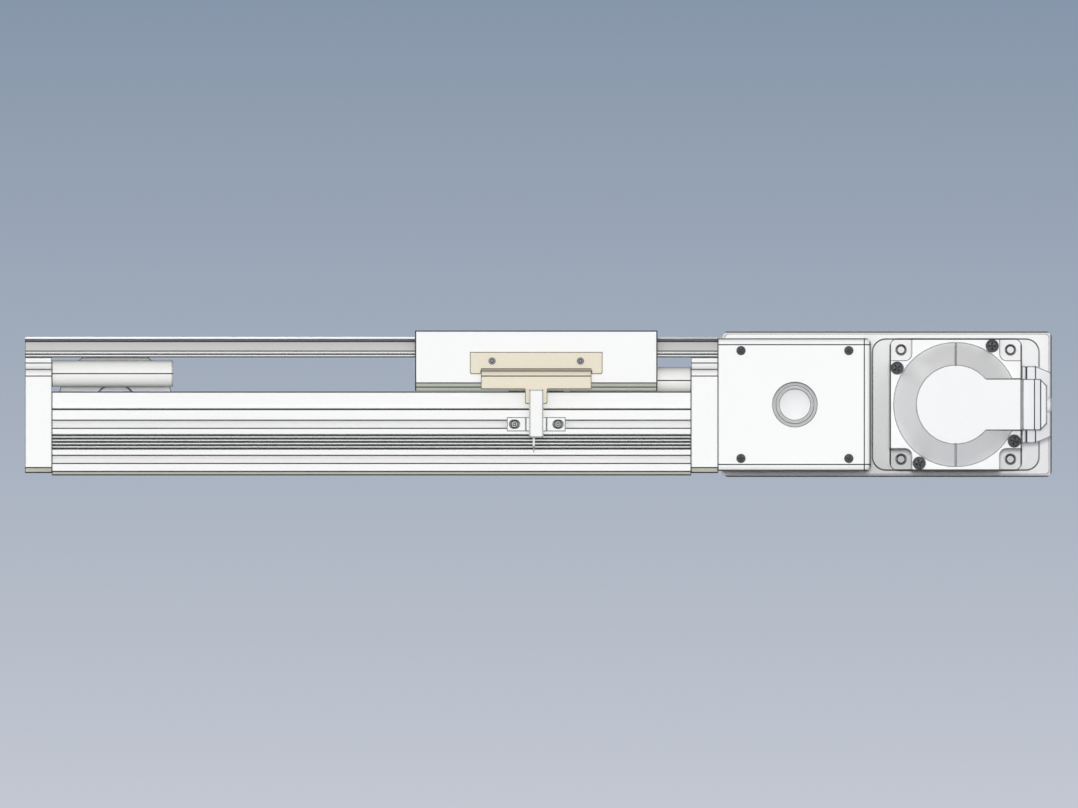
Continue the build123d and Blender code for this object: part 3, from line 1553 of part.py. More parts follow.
with BuildPart() as limit_sensor:
    with BuildSketch(facing(sensor_back)):
        with Locations((sensor_x, (sensor_top + sensor_bottom) / 2)):
            Rectangle(sensor_width, sensor_top - sensor_bottom)
    extrude(amount=sensor_depth)
    front = limit_sensor.faces().sort_by(Axis.Y)[0]
    chamfer(front.edges(), sensor_edge)
limit_sensor.part.label = "limit_sensor"
export_step(limit_sensor.part, "parts/limit_sensor.step")

with BuildPart() as sensor_outlet:
    with Locations((sensor_x - lead_offset, sensor_back - sensor_depth / 2, sensor_bottom)):
        Cylinder(outlet_radius, outlet_length, align=(Align.CENTER, Align.CENTER, Align.MAX))
        Cylinder(lead_radius, lead_length, align=(Align.CENTER, Align.CENTER, Align.MAX))
sensor_outlet.part.label = "sensor_outlet"
export_step(sensor_outlet.part, "parts/sensor_outlet.step")

# Slot nuts in the upper T-slot with the screws that hold the bracket
nut_length = 6.0
nut_gap = 0.1
nut_face = base_face + slot_lip + nut_gap
nut_depth = slot_undercut_depth - 2 * nut_gap
set_screw_radius = 1.5
set_screw_socket = 0.75
set_screw_socket_depth = 1.0
with BuildPart() as slot_nuts:
    with BuildSketch(facing(nut_face + nut_depth)):
        with Locations((sensor_x, upper_slot_height)):
            with GridLocations(2 * bracket_hole_offset, 1, 2, 1):
                Rectangle(nut_length, slot_undercut_height - 4 * nut_gap)
                Circle(set_screw_radius + seat_clearance, mode=Mode.SUBTRACT)
    extrude(amount=nut_depth)
slot_nuts.part.label = "slot_nuts"
export_step(slot_nuts.part, "parts/slot_nuts.step")

with BuildPart(facing(base_face - bracket_thickness)) as bracket_screws:
    with Locations((sensor_x, upper_slot_height)):
        with GridLocations(2 * bracket_hole_offset, 1, 2, 1):
            Cylinder(
                set_screw_radius, bracket_thickness + slot_lip + nut_gap + nut_depth,
                align=(Align.CENTER, Align.CENTER, Align.MAX),
            )
    with BuildSketch(facing(base_face - bracket_thickness)):
        with Locations((sensor_x, upper_slot_height)):
            with GridLocations(2 * bracket_hole_offset, 1, 2, 1):
                RegularPolygon(set_screw_socket, 6)
    extrude(amount=-set_screw_socket_depth, mode=Mode.SUBTRACT)
bracket_screws.part.label = "bracket_screws"
export_step(bracket_screws.part, "parts/bracket_screws.step")
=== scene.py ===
import math

import bmesh
import bpy
from mathutils import Matrix, Vector


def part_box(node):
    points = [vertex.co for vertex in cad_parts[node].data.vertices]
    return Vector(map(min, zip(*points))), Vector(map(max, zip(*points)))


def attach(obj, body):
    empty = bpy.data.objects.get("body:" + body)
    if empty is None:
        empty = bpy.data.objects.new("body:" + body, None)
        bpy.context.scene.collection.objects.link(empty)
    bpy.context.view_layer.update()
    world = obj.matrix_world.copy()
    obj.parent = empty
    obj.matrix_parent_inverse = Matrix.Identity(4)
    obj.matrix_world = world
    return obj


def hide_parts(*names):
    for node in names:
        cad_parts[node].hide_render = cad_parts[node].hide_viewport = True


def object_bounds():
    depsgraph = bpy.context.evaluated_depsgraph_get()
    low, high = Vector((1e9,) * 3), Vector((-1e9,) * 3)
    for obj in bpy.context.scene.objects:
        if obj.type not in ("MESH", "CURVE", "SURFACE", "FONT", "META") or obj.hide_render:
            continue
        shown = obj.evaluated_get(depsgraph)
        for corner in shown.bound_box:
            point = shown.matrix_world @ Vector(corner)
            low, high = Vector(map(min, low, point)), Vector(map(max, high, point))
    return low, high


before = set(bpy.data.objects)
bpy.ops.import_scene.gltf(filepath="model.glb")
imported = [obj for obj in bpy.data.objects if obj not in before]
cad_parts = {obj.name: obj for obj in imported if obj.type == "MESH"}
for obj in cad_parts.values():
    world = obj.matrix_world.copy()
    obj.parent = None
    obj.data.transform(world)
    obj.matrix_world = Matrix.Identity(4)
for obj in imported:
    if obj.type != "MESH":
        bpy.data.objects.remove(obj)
cad_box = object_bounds()

# Base profile: an aluminium extrusion, clear anodised, so nearly white and matt, with the faint
# lengthwise draw lines of the die. The end blocks are milled plates of the same metal, screwed
# against its ends.
MM = 0.001


def srgb(red, green, blue):
    """A colour as it is read off a screen, from 0 to 255, as the linear one that nodes take."""
    linear = []
    for value in (red, green, blue):
        share = value / 255
        linear.append(share / 12.92 if share <= 0.04045 else ((share + 0.055) / 1.055) ** 2.4)
    return (*linear, 1.0)


def new_material(name):
    """An empty node material, with its tree and its output."""
    material = bpy.data.materials.new(name)
    material.use_nodes = True
    tree = material.node_tree
    tree.nodes.clear()
    output = tree.nodes.new("ShaderNodeOutputMaterial")
    return material, tree, output


GRAIN_DETAIL = 4
DRIFT_SCALE = 14
DRIFT_DETAIL = 3
TONE_ENDS = (0.30, 0.70)
SHEEN_DRIFT = 0.06
RELIEF_HEIGHT = 0.05 * MM
EDGE_SAMPLES = 8
EDGE_FULL = 0.955
EDGE_STARTS = 0.985
EDGE_STRENGTH = 0.96
DRAWN_LINE = 0.5
DRAWN_TONE = (0.012, 0.012, 0.014, 1)
BEVEL_LEAN = -0.25
# The colour sockets of a Mix node go by number, because others there have the same names.
MIX_UNDER, MIX_OVER, MIX_RESULT = 6, 7, 2


def surface(name, colour, metallic, roughness, grain, tone, stretch=(1, 1, 1), relief=0.02,
            edge_width=0.9, lines=(), bevels=()):
    """A real surface: a fine grain and a slow drift move its tone and its roughness a little,
    and the grain stands out as relief. stretch draws the grain out along an axis.
    Sharp edges are drawn dark, as the picture has them, and so are lines: each has an axis and
    a height in mm, and may add a second axis with the middle and half of its length.
    bevels are painted darker where they face down, as painted shade: each has the middle and
    half of its height in mm, and a colour."""
    material, tree, output = new_material(name)
    nodes = tree.nodes
    links = tree.links

    def noise(scale, detail, where):
        """A noise texture laid out over coordinates."""
        texture = nodes.new("ShaderNodeTexNoise")
        texture.inputs["Scale"].default_value = scale
        texture.inputs["Detail"].default_value = detail
        links.new(where, texture.inputs["Vector"])
        return texture.outputs["Fac"]

    def combined(operation, first, second):
        """Two values brought together."""
        pair = nodes.new("ShaderNodeMath")
        pair.operation = operation
        links.new(first, pair.inputs[0])
        links.new(second, pair.inputs[1])
        return pair.outputs[0]

    def within(axis, middle, half):
        """One where the surface is within a distance of a place along an axis, else zero."""
        near = nodes.new("ShaderNodeMath")
        near.operation = "COMPARE"
        near.inputs[1].default_value = middle * MM
        near.inputs[2].default_value = half * MM
        links.new(apart.outputs[axis], near.inputs[0])
        return near.outputs[0]

    def painted(mask, under, over):
        """A colour laid over another where a mask is one."""
        mix = nodes.new("ShaderNodeMix")
        mix.data_type = "RGBA"
        mix.inputs[MIX_OVER].default_value = over
        links.new(mask, mix.inputs[0])
        links.new(under, mix.inputs[MIX_UNDER])
        return mix.outputs[MIX_RESULT]

    place = nodes.new("ShaderNodeTexCoord")
    apart = nodes.new("ShaderNodeSeparateXYZ")
    links.new(place.outputs["Object"], apart.inputs[0])
    stretched = nodes.new("ShaderNodeMapping")
    stretched.inputs["Scale"].default_value = stretch
    links.new(place.outputs["Object"], stretched.inputs["Vector"])
    fine = noise(grain, GRAIN_DETAIL, stretched.outputs[0])
    drift = noise(DRIFT_SCALE, DRIFT_DETAIL, place.outputs["Object"])
    mean = nodes.new("ShaderNodeMath")
    mean.operation = "MULTIPLY"
    mean.inputs[1].default_value = 0.5
    links.new(combined("ADD", fine, drift), mean.inputs[0])

    ramp = nodes.new("ShaderNodeValToRGB")
    dark = [channel * (1 - tone) for channel in colour[:3]]
    light = [channel * (1 + tone * 0.5) for channel in colour[:3]]
    for stop, position, shade in zip(ramp.color_ramp.elements, TONE_ENDS, (dark, light)):
        stop.position = position
        stop.color = (*shade, 1)
    links.new(mean.outputs[0], ramp.inputs[0])
    paint = ramp.outputs[0]

    rounded = nodes.new("ShaderNodeBevel")
    rounded.samples = EDGE_SAMPLES
    rounded.inputs["Radius"].default_value = edge_width * MM
    flat = nodes.new("ShaderNodeNewGeometry")
    agree = nodes.new("ShaderNodeVectorMath")
    agree.operation = "DOT_PRODUCT"
    links.new(rounded.outputs[0], agree.inputs[0])
    links.new(flat.outputs["True Normal"], agree.inputs[1])
    edge = nodes.new("ShaderNodeMapRange")
    edge.inputs["From Min"].default_value = EDGE_FULL
    edge.inputs["From Max"].default_value = EDGE_STARTS
    edge.inputs["To Min"].default_value = EDGE_STRENGTH
    edge.inputs["To Max"].default_value = 0.0
    links.new(agree.outputs["Value"], edge.inputs["Value"])
    drawn = edge.outputs[0]
    for axis, height, *length in lines:
        mark = within(axis, height, DRAWN_LINE / 2)
        if length:
            mark = combined("MULTIPLY", mark, within(*length))
        drawn = combined("MAXIMUM", drawn, mark)

    # Painted shade: faces that lean down within the given heights take a darker colour.
    if bevels:
        facing = nodes.new("ShaderNodeSeparateXYZ")
        links.new(place.outputs["Normal"], facing.inputs[0])
        below = nodes.new("ShaderNodeMath")
        below.operation = "LESS_THAN"
        below.inputs[1].default_value = BEVEL_LEAN
        links.new(facing.outputs["Z"], below.inputs[0])
    for middle, half, shade_tone in bevels:
        mask = combined("MULTIPLY", below.outputs[0], within("Z", middle, half))
        paint = painted(mask, paint, shade_tone)
    paint = painted(drawn, paint, DRAWN_TONE)

    sheen = nodes.new("ShaderNodeMapRange")
    sheen.inputs["To Min"].default_value = roughness - SHEEN_DRIFT
    sheen.inputs["To Max"].default_value = roughness + SHEEN_DRIFT
    links.new(mean.outputs[0], sheen.inputs["Value"])
    bump = nodes.new("ShaderNodeBump")
    bump.inputs["Strength"].default_value = relief
    bump.inputs["Distance"].default_value = RELIEF_HEIGHT
    links.new(fine, bump.inputs["Height"])
    shader = nodes.new("ShaderNodeBsdfPrincipled")
    shader.inputs["Metallic"].default_value = metallic
    links.new(paint, shader.inputs["Base Color"])
    links.new(sheen.outputs[0], shader.inputs["Roughness"])
    links.new(bump.outputs[0], shader.inputs["Normal"])
    links.new(shader.outputs[0], output.inputs["Surface"])
    return material


def dress(material, *nodes):
    """Gives the CAD nodes one material in place of their plain ones."""
    for name in nodes:
        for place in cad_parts[name].material_slots:
            place.material = material


ANODISED = srgb(246, 246, 245)
# Painted shade: the foot chamfers of the profile and end blocks are painted this darker colour
# where they face down.
FOOT_PAINTED_SHADE = srgb(208, 208, 191)
DIE_LINES = (0.02, 1, 1)
FLANK_HEIGHTS = (37.7, 29.8, 25.06, 21.34, 16.7, 15.2, 13.7, 12.2, 9.16, 5.44, 1.9, 0.3)
# This one lies so near the channel's floor that it is kept to the two flanks.
TOP_SCRIBE_HEIGHT = 18.2
FLANK_PLACES = (-34.8, 34.8)
FLANK_HALF = 1.0
SHOULDER_HEIGHTS = (50.9, 48.0, 45.0, 3.6, 1.4)
PROFILE_FOOT_SHADE = (0.8, 0.79, FOOT_PAINTED_SHADE)
BLOCK_FOOT_SHADE = (2.25, 1.1, FOOT_PAINTED_SHADE)


def milled_aluminium(name, **drawn):
    """Milled, clear anodised aluminium, with its drawn lines and painted shade on its bevels.
    """
    return surface(name, ANODISED, metallic=0.0, roughness=0.40, grain=2200, tone=0.025,
                   **drawn)


flank_lines = [("Z", height) for height in FLANK_HEIGHTS]
flank_lines += [("Z", TOP_SCRIBE_HEIGHT, "Y", place, FLANK_HALF) for place in FLANK_PLACES]
extruded = surface("extruded_aluminium", ANODISED, metallic=0.0, roughness=0.42, grain=1400,
                   tone=0.03, stretch=DIE_LINES, lines=flank_lines, bevels=[PROFILE_FOOT_SHADE])
blocks = milled_aluminium("milled_end_block", bevels=[BLOCK_FOOT_SHADE],
                          lines=[("Z", height) for height in SHOULDER_HEIGHTS])
dress(extruded, "base_profile")
dress(blocks, "idler_end_block", "drive_end_block")

# Socket screws and nuts: zinc plated steel. Their heads sit in counterbores and slots, where
# only the dark socket and a rim of bright metal show.
ZINC = srgb(170, 171, 174)
BRIGHT_ZINC = srgb(236, 236, 238)
plated = surface("zinc_plated_steel", ZINC, metallic=0.55, roughness=0.32, grain=2600,
                 tone=0.08)
bright = surface("bright_zinc", BRIGHT_ZINC, metallic=0.15, roughness=0.42, grain=2600,
                 tone=0.05)
dress(plated, "end_block_screws", "rail_screws", "tension_screws", "belt_clamp_screws")
dress(plated, "lid_screws", "head_bolts", "slot_nuts", "shaft_end_screw", "shaft_end_washer")
dress(bright, "motor_bolts", "bracket_screws")

# Top cover: a thin aluminium hood that keeps dirt off the belt, with sloping shoulders. The
# crowned steel strip is clipped along its middle.
COVER_TONE = srgb(236, 236, 233)
COVER_FOLDS = (60.62, 56.3, 54.8, 53.7)
# The strip's grey is partly its steel and partly painted shade: it is set darker for the shade
# on its nearly level crowned top.
STRIP_STEEL_AND_SHADE = srgb(150, 150, 149)
STRIP_EDGE = 61.7
ROLLED = (0.01, 1, 1)
cover = surface("cover_aluminium", COVER_TONE, metallic=0.05, roughness=0.45, grain=1400,
                tone=0.03, stretch=DIE_LINES, lines=[("Z", height) for height in COVER_FOLDS])
strip = surface("crowned_strip", STRIP_STEEL_AND_SHADE, metallic=0.35, roughness=0.38, grain=2400,
                tone=0.05, stretch=ROLLED, lines=[("Z", STRIP_EDGE)])
dress(cover, "top_cover")
dress(strip, "cover_strip")

# Guide rails and runner blocks: two ground steel rails, screwed to the floor of the channel,
# with four blocks that have moulded end caps.
GROUND_STEEL = srgb(205, 206, 208)
GROUND = (0.01, 1, 1)
CAP_GREEN = srgb(52, 110, 88)
ground = surface("ground_steel", GROUND_STEEL, metallic=0.7, roughness=0.28, grain=2600,
                 tone=0.05, stretch=GROUND)
moulded_cap = surface("end_cap_plastic", CAP_GREEN, metallic=0.0, roughness=0.5, grain=3000,
                      tone=0.08)
dress(ground, "guide_rail_near", "guide_rail_far", "runner_blocks_near", "runner_blocks_far")
dress(moulded_cap, "runner_end_caps_near", "runner_end_caps_far")

# Carriage: the saddle joins the runner blocks below the belt, and the table wraps round the
# hood and carries the load. Both are milled from aluminium and clear anodised. The table's
# eight holes are tapped M5.
# Painted shade: the table's lower bevels are painted this darker colour where they face down.
BEVEL_PAINTED_SHADE = srgb(188, 192, 180)
LOWER_BEVEL_SHADE = (40.1, 1.75, BEVEL_PAINTED_SHADE)
TABLE_LINES = [("Z", 65.3), ("Z", 41.9), ("Z", 40.0), ("X", 20.0), ("X", 129.1)]
milled = milled_aluminium("milled_aluminium")
arch = milled_aluminium("milled_arch", lines=TABLE_LINES, bevels=[LOWER_BEVEL_SHADE])
dress(milled, "carriage_saddle", "belt_clamp_bed", "belt_clamp_plate")
dress(arch, "carriage_table")


def new_piece(name, bm, material):
    """Puts a bmesh into the scene as a piece with its material."""
    bmesh.ops.recalc_face_normals(bm, faces=bm.faces)
    mesh = bpy.data.meshes.new(name)
    bm.to_mesh(mesh)
    bm.free()
    piece = bpy.data.objects.new(name, mesh)
    bpy.context.scene.collection.objects.link(piece)
    mesh.materials.append(material)
    return piece


def smooth_by_angle(piece, degrees):
    """Smooth shading, with edges sharper than an angle kept crisp."""
    for face in piece.data.polygons:
        face.use_smooth = True
    piece.data.set_sharp_from_angle(angle=math.radians(degrees))


THREAD_RADIUS = 2.5 * MM
THREAD_PITCH = 0.8 * MM
THREAD_FOOT = 0.45 * THREAD_PITCH
THREAD_HEIGHT = 0.42 * MM
THREAD_DEPTH = 5.0 * MM
THREAD_STEPS = 28
THREAD_CREASE = 40
HOLE_ROWS = (-29.0 * MM, 29.0 * MM)
HOLE_COLUMNS = (-40.0 * MM, -20.0 * MM, 20.0 * MM, 40.0 * MM)


def thread_coil(bm, x, y, top):
    """A ridge inside a hole: a triangle swept down a helix, thinned out at its ends."""
    total = int(THREAD_DEPTH / THREAD_PITCH * THREAD_STEPS)
    section = ((0.0, THREAD_FOOT), (-THREAD_HEIGHT, 0.0), (0.0, -THREAD_FOOT))
    before = None
    for step in range(total + 1):
        angle = 2 * math.pi * step / THREAD_STEPS
        drop = top - 2 * THREAD_FOOT - THREAD_PITCH * step / THREAD_STEPS
        fade = min(1.0, 2 * step / THREAD_STEPS, 2 * (total - step) / THREAD_STEPS)
        ring = []
        for reach, rise in section:
            away = THREAD_RADIUS + reach * fade
            spot = (x + away * math.cos(angle), y + away * math.sin(angle), drop + rise)
            ring.append(bm.verts.new(spot))
        if before:
            for corner in range(3):
                after = (corner + 1) % 3
                bm.faces.new((before[corner], before[after], ring[after], ring[corner]))
        before = ring


low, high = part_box("carriage_table")
coils = bmesh.new()
for column in HOLE_COLUMNS:
    for row in HOLE_ROWS:
        thread_coil(coils, (low.x + high.x) / 2 + column, row, high.z)
threads = new_piece("table_threads", coils, milled)
smooth_by_angle(threads, THREAD_CREASE)
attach(threads, "carriage")

# Idler: a toothed pulley on two ball bearings and a ground axle, held by two arms that the
# tension screws pull towards the end block. The drive's pulleys are turned in the same way.
TURNED = srgb(222, 223, 225)
TURNING = (1, 0.1, 1)
turned = surface("turned_aluminium", TURNED, metallic=0.55, roughness=0.3, grain=2400,
                 tone=0.05, stretch=TURNING)
dress(turned, "idler_pulley", "drive_pulley", "driven_pulley", "motor_pulley", "shaft_spacers")
dress(ground, "idler_axle", "idler_bearings", "tension_arms")

# Toothed belts: cast urethane with steel cords, satin and slightly yellow. The long one is held
# in the carriage's clamp, and the short one runs in the belt housing.
URETHANE = srgb(226, 226, 218)
urethane = surface("belt_urethane", URETHANE, metallic=0.0, roughness=0.5, grain=1800,
                   tone=0.06)
dress(urethane, "axis_belt", "reduction_belt")

# Buffers: pale urethane cylinders, two at each end, glued into the end blocks. The line along
# each is the parting line of its mould.
BUFFER_TONE = srgb(243, 243, 240)
PARTING_HEIGHTS = {"idler": 46.1, "drive": 43.0}
for side, parting in PARTING_HEIGHTS.items():
    soft = surface(side + "_buffer_urethane", BUFFER_TONE, metallic=0.0, roughness=0.55,
                   grain=1500, tone=0.03, lines=[("Z", parting)])
    dress(soft, side + "_side_buffers")

# Drive head: a milled housing with a cover that four cross recess screws hold. Two ball
# bearings carry the hollow shaft, whose end shows in the middle of the cover.
HEAD_ROUNDING = [("Z", 59.2), ("Z", 5.0), ("X", 223.0)]
HEAD_OUTLINE = [("Z", 61.8), ("Z", 2.4), ("X", 225.6)]
SHAFT_TONE = srgb(246, 246, 246)
SHAFT_EDGE = 0.7
SMALL_EDGE = 0.35
head = milled_aluminium("milled_head", lines=HEAD_ROUNDING + HEAD_OUTLINE)
shaft = surface("ground_shaft", SHAFT_TONE, metallic=0.1, roughness=0.42, grain=2600, tone=0.03,
                edge_width=SHAFT_EDGE)
bearing = surface("ground_bearing", BRIGHT_ZINC, metallic=0.1, roughness=0.42, grain=2600,
                  tone=0.03, edge_width=SMALL_EDGE)
dress(head, "drive_head_housing", "drive_head_cover")
dress(bearing, "drive_bearing_near", "drive_bearing_far")
dress(shaft, "drive_shaft")


def bake(piece):
    """Turns a piece's modifiers into its mesh."""
    graph = bpy.context.evaluated_depsgraph_get()
    finished = bpy.data.meshes.new_from_object(piece.evaluated_get(graph))
    piece.modifiers.clear()
    piece.data = finished


def turn(bm, outline, steps):
    """Turns an outline of (radius, height) pairs in mm round Z. Its ends lie on the axis."""
    rings = []
    for radius, height in outline[1:-1]:
        ring = []
        for step in range(steps):
            angle = 2 * math.pi * step / steps
            spot = (radius * math.cos(angle) * MM, radius * math.sin(angle) * MM, height * MM)
            ring.append(bm.verts.new(spot))
        rings.append(ring)
    for lower, upper in zip(rings, rings[1:]):
        for step in range(steps):
            after = (step + 1) % steps
            bm.faces.new((lower[step], lower[after], upper[after], upper[step]))
    for ring, (_, height) in ((rings[0], outline[0]), (rings[-1], outline[-1])):
        middle = bm.verts.new((0, 0, height * MM))
        for step in range(steps):
            bm.faces.new((ring[step], ring[(step + 1) % steps], middle))


ROUND_STEPS = 48
QUARTER = math.radians(90)
# A head's dome in shares of its radius and height, and its shank in shares of its radius.
DOME = ((0.35, 0.99), (0.70, 0.90), (0.90, 0.66), (0.98, 0.36), (1.0, 0.16), (1.0, 0.0))
SHANK_SHARE = 0.46
# The cross recess: four wings that taper towards its bottom.
WING_TOP = 1.05
WING_DEPTH = 0.62
WING_REACH = 0.62
WING_HALF = 0.11
WING_TAPER = 0.55
SQUARE = ((-1, -1), (1, -1), (1, 1), (-1, 1))


def cross_head_mesh(name, radius, height, shank, material):
    """A cross recess screw along Z: a domed head, four tapered wings and a shank, in mm."""
    bm = bmesh.new()
    outline = [(0, height)]
    outline += [(across * radius, up * height) for across, up in DOME]
    outline += [(SHANK_SHARE * radius, 0), (SHANK_SHARE * radius, -shank), (0, -shank)]
    turn(bm, outline, ROUND_STEPS)
    screw = new_piece(name, bm, material)
    wings = bmesh.new()
    bottom = height - WING_DEPTH * height
    for angle in (0, QUARTER):
        wing = []
        for level, share in ((height * WING_TOP, 1.0), (bottom, WING_TAPER)):
            for x, y in SQUARE:
                across = x * WING_REACH * radius * share
                wide = y * WING_HALF * radius * share
                spot = Vector((across * MM, wide * MM, level * MM))
                spot.rotate(Matrix.Rotation(angle, 3, "Z"))
                wing.append(wings.verts.new(spot))
        wings.faces.new(wing[:4][::-1])
        wings.faces.new(wing[4:])
        for corner in range(4):
            after = (corner + 1) % 4
            wings.faces.new((wing[corner], wing[after], wing[after + 4], wing[corner + 4]))
    cutter = new_piece(name + "_cutter", wings, material)
    recess = screw.modifiers.new("recess", "BOOLEAN")
    recess.operation = "DIFFERENCE"
    recess.solver = "EXACT"
    recess.use_self = True
    recess.object = cutter
    bake(screw)
    bpy.data.objects.remove(cutter)
    return screw


TURN_APART = 37
SCREW_CREASE = 32


def screw_set(name, node, body, head_mesh, places):
    """Copies of one screw, its own Z towards the sensor side, in place of a CAD node."""
    bm = bmesh.new()
    facing_front = Matrix.Rotation(QUARTER, 4, "X")
    for number, place in enumerate(places):
        one = head_mesh.data.copy()
        turned_by = Matrix.Rotation(math.radians(TURN_APART * number), 4, "Z")
        one.transform(Matrix.Translation(place) @ facing_front @ turned_by)
        bm.from_mesh(one)
        bpy.data.meshes.remove(one)
    material = head_mesh.data.materials[0]
    bpy.data.objects.remove(head_mesh)
    piece = new_piece(name, bm, material)
    smooth_by_angle(piece, SCREW_CREASE)
    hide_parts(node)
    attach(piece, body)


SCREW_TONE = srgb(96, 97, 100)
HEAD_SCREW_RADIUS = 2.1
HEAD_SCREW_HEIGHT = 1.1
HEAD_SCREW_SHANK = 15.5
low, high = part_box("drive_head_screws")
seat = low.y + HEAD_SCREW_HEIGHT * MM
inset = HEAD_SCREW_RADIUS * MM
corners = [(x, seat, z) for x in (low.x + inset, high.x - inset)
           for z in (low.z + inset, high.z - inset)]
recessed = surface("recessed_screw_steel", SCREW_TONE, metallic=0.5, roughness=0.34, grain=2600,
                   tone=0.08, edge_width=SMALL_EDGE)
small_screw = cross_head_mesh("head_screw", HEAD_SCREW_RADIUS, HEAD_SCREW_HEIGHT,
                              HEAD_SCREW_SHANK, recessed)
screw_set("drive_head_cross_screws", "drive_head_screws", "frame", small_screw, corners)

# Belt housing: two cast aluminium shells behind the head, painted as the motor is. Four screws
# hold the lid, and the motor is bolted to a raised pad on the front shell.
CAST_TONE = srgb(243, 243, 243)
CAST_OUTLINE = [("Z", 64.87), ("Z", -0.27), ("X", 307.47)]
cast = surface("painted_casting", CAST_TONE, metallic=0.0, roughness=0.48, grain=700, tone=0.03,
               relief=0.06, lines=CAST_OUTLINE)
dress(cast, "belt_housing", "belt_housing_lid")

# Motor: flange, body and rear cover are painted castings, and four cross recess screws hold
# the cover. The rotor turns in two ball bearings.
MOTOR_PAINT = srgb(244, 244, 244)
MOTOR_OUTLINE = [("X", 234.82), ("X", 293.92), ("Z", 61.65), ("Z", 2.55)]
COVER_SCREW_RADIUS = 3.0
COVER_SCREW_HEIGHT = 1.8
COVER_SCREW_SHANK = 5.0
LONG_OFFSET = 26.5 * MM
SHORT_OFFSET = 16.5 * MM
motor_paint = surface("motor_paint", MOTOR_PAINT, metallic=0.0, roughness=0.42, grain=700,
                      tone=0.03, relief=0.05, lines=MOTOR_OUTLINE)
dress(motor_paint, "motor_flange", "motor_body", "motor_rear_cover")
low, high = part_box("motor_flange")
motor_middle = (low + high) / 2
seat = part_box("motor_cover_screws")[0].y + COVER_SCREW_HEIGHT * MM
offsets = [(SHORT_OFFSET, LONG_OFFSET), (-LONG_OFFSET, SHORT_OFFSET),
           (LONG_OFFSET, -SHORT_OFFSET), (-SHORT_OFFSET, -LONG_OFFSET)]
corners = [(motor_middle.x + x, seat, motor_middle.z + z) for x, z in offsets]
large_screw = cross_head_mesh("cover_screw", COVER_SCREW_RADIUS, COVER_SCREW_HEIGHT,
                              COVER_SCREW_SHANK, recessed)
screw_set("motor_cover_cross_screws", "motor_cover_screws", "frame", large_screw, corners)
dress(ground, "motor_shaft", "motor_rotor_core", "motor_bearings")

# Connectors: moulded hoods on the motor's side. The signal hood's face slopes down to a step
# and ends in a short cable gland. The power hood stands behind it on a seal and slopes back.
MOULDED = srgb(240, 240, 242)
ROUNDED_ABOVE = math.radians(28)
ROUNDING_STEPS = 3
HOOD_CREASE = 18


def connector_hood(name, sections, rounding, lines):
    """Skins a row of upright rectangles (x, front, back, bottom, top) and rounds the edges."""
    bm = bmesh.new()
    rings = []
    for x, front, back, bottom, top in sections:
        ends = ((front, bottom), (back, bottom), (back, top), (front, top))
        rings.append([bm.verts.new((x, y, z)) for y, z in ends])
    bm.faces.new(rings[0])
    bm.faces.new(rings[-1][::-1])
    for near, far in zip(rings, rings[1:]):
        for corner in range(4):
            after = (corner + 1) % 4
            bm.faces.new((near[corner], near[after], far[after], far[corner]))
    plastic = surface(name + "_plastic", MOULDED, metallic=0.0, roughness=0.5, grain=3000,
                      tone=0.04, lines=lines)
    piece = new_piece(name + "_hood", bm, plastic)
    rounded = piece.modifiers.new("rounding", "BEVEL")
    rounded.width = rounding
    rounded.segments = ROUNDING_STEPS
    rounded.limit_method = "ANGLE"
    rounded.angle_limit = ROUNDED_ABOVE
    bake(piece)
    smooth_by_angle(piece, HOOD_CREASE)
    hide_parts(name + "_connector")
    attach(piece, "frame")
    return plastic


SIGNAL_FACET = (5.35 * MM, 8.15 * MM)
SIGNAL_STEP = 1.3 * MM
SIGNAL_CORNER = 3.0 * MM
SIGNAL_ROUNDING = 0.25 * MM
SIGNAL_LINES = [("X", 300.0), ("X", 302.8)]
low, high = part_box("signal_connector")
step_face = low.y + SIGNAL_STEP
signal_plastic = connector_hood("signal", [
    (low.x, low.y, high.y, low.z, high.z),
    (low.x + SIGNAL_FACET[0], low.y, high.y, low.z, high.z),
    (low.x + SIGNAL_FACET[1], step_face, high.y, low.z, high.z),
    (high.x - SIGNAL_CORNER, step_face, high.y, low.z, high.z),
    (high.x, step_face, high.y, low.z + SIGNAL_CORNER, high.z - SIGNAL_CORNER),
], SIGNAL_ROUNDING, SIGNAL_LINES)

# The gland's outline in mm: from inside the hood, over its rounded rim, into its bore.
GLAND_OUTLINE = [(0, -0.5), (3.3, -0.5), (3.3, 1.7), (3.0, 2.0), (2.2, 2.0), (2.0, 1.8),
                 (2.0, 0.6), (0, 0.6)]
rings = bmesh.new()
turn(rings, GLAND_OUTLINE, ROUND_STEPS)
lean = Matrix.Rotation(QUARTER, 4, "Y")
place = Matrix.Translation((high.x, (step_face + high.y) / 2, (low.z + high.z) / 2))
bmesh.ops.transform(rings, matrix=place @ lean, verts=rings.verts)
gland = new_piece("signal_gland", rings, signal_plastic)
smooth_by_angle(gland, SCREW_CREASE)
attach(gland, "frame")

POWER_SEAL = 2.0 * MM
SEAL_GROOVE = 0.35 * MM
POWER_BEND = 6.1 * MM
POWER_SLOPE = 2.2 * MM
POWER_TAPER = 2.8 * MM
POWER_ROUNDING = 0.3 * MM
POWER_LINES = [("X", 296.4), ("X", 300.5)]
low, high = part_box("power_connector")
groove_sides = (low.y + SEAL_GROOVE, high.y - SEAL_GROOVE,
                low.z + SEAL_GROOVE, high.z - SEAL_GROOVE)
full_sides = (low.y, high.y, low.z, high.z)
connector_hood("power", [
    (low.x, *full_sides),
    (low.x + POWER_SEAL - SEAL_GROOVE, *full_sides),
    (low.x + POWER_SEAL - SEAL_GROOVE, *groove_sides),
    (low.x + POWER_SEAL, *groove_sides),
    (low.x + POWER_SEAL, *full_sides),
    (low.x + POWER_BEND, *full_sides),
    (high.x, low.y + POWER_SLOPE, high.y, low.z + POWER_TAPER, high.z - POWER_TAPER),
], POWER_ROUNDING, POWER_LINES)

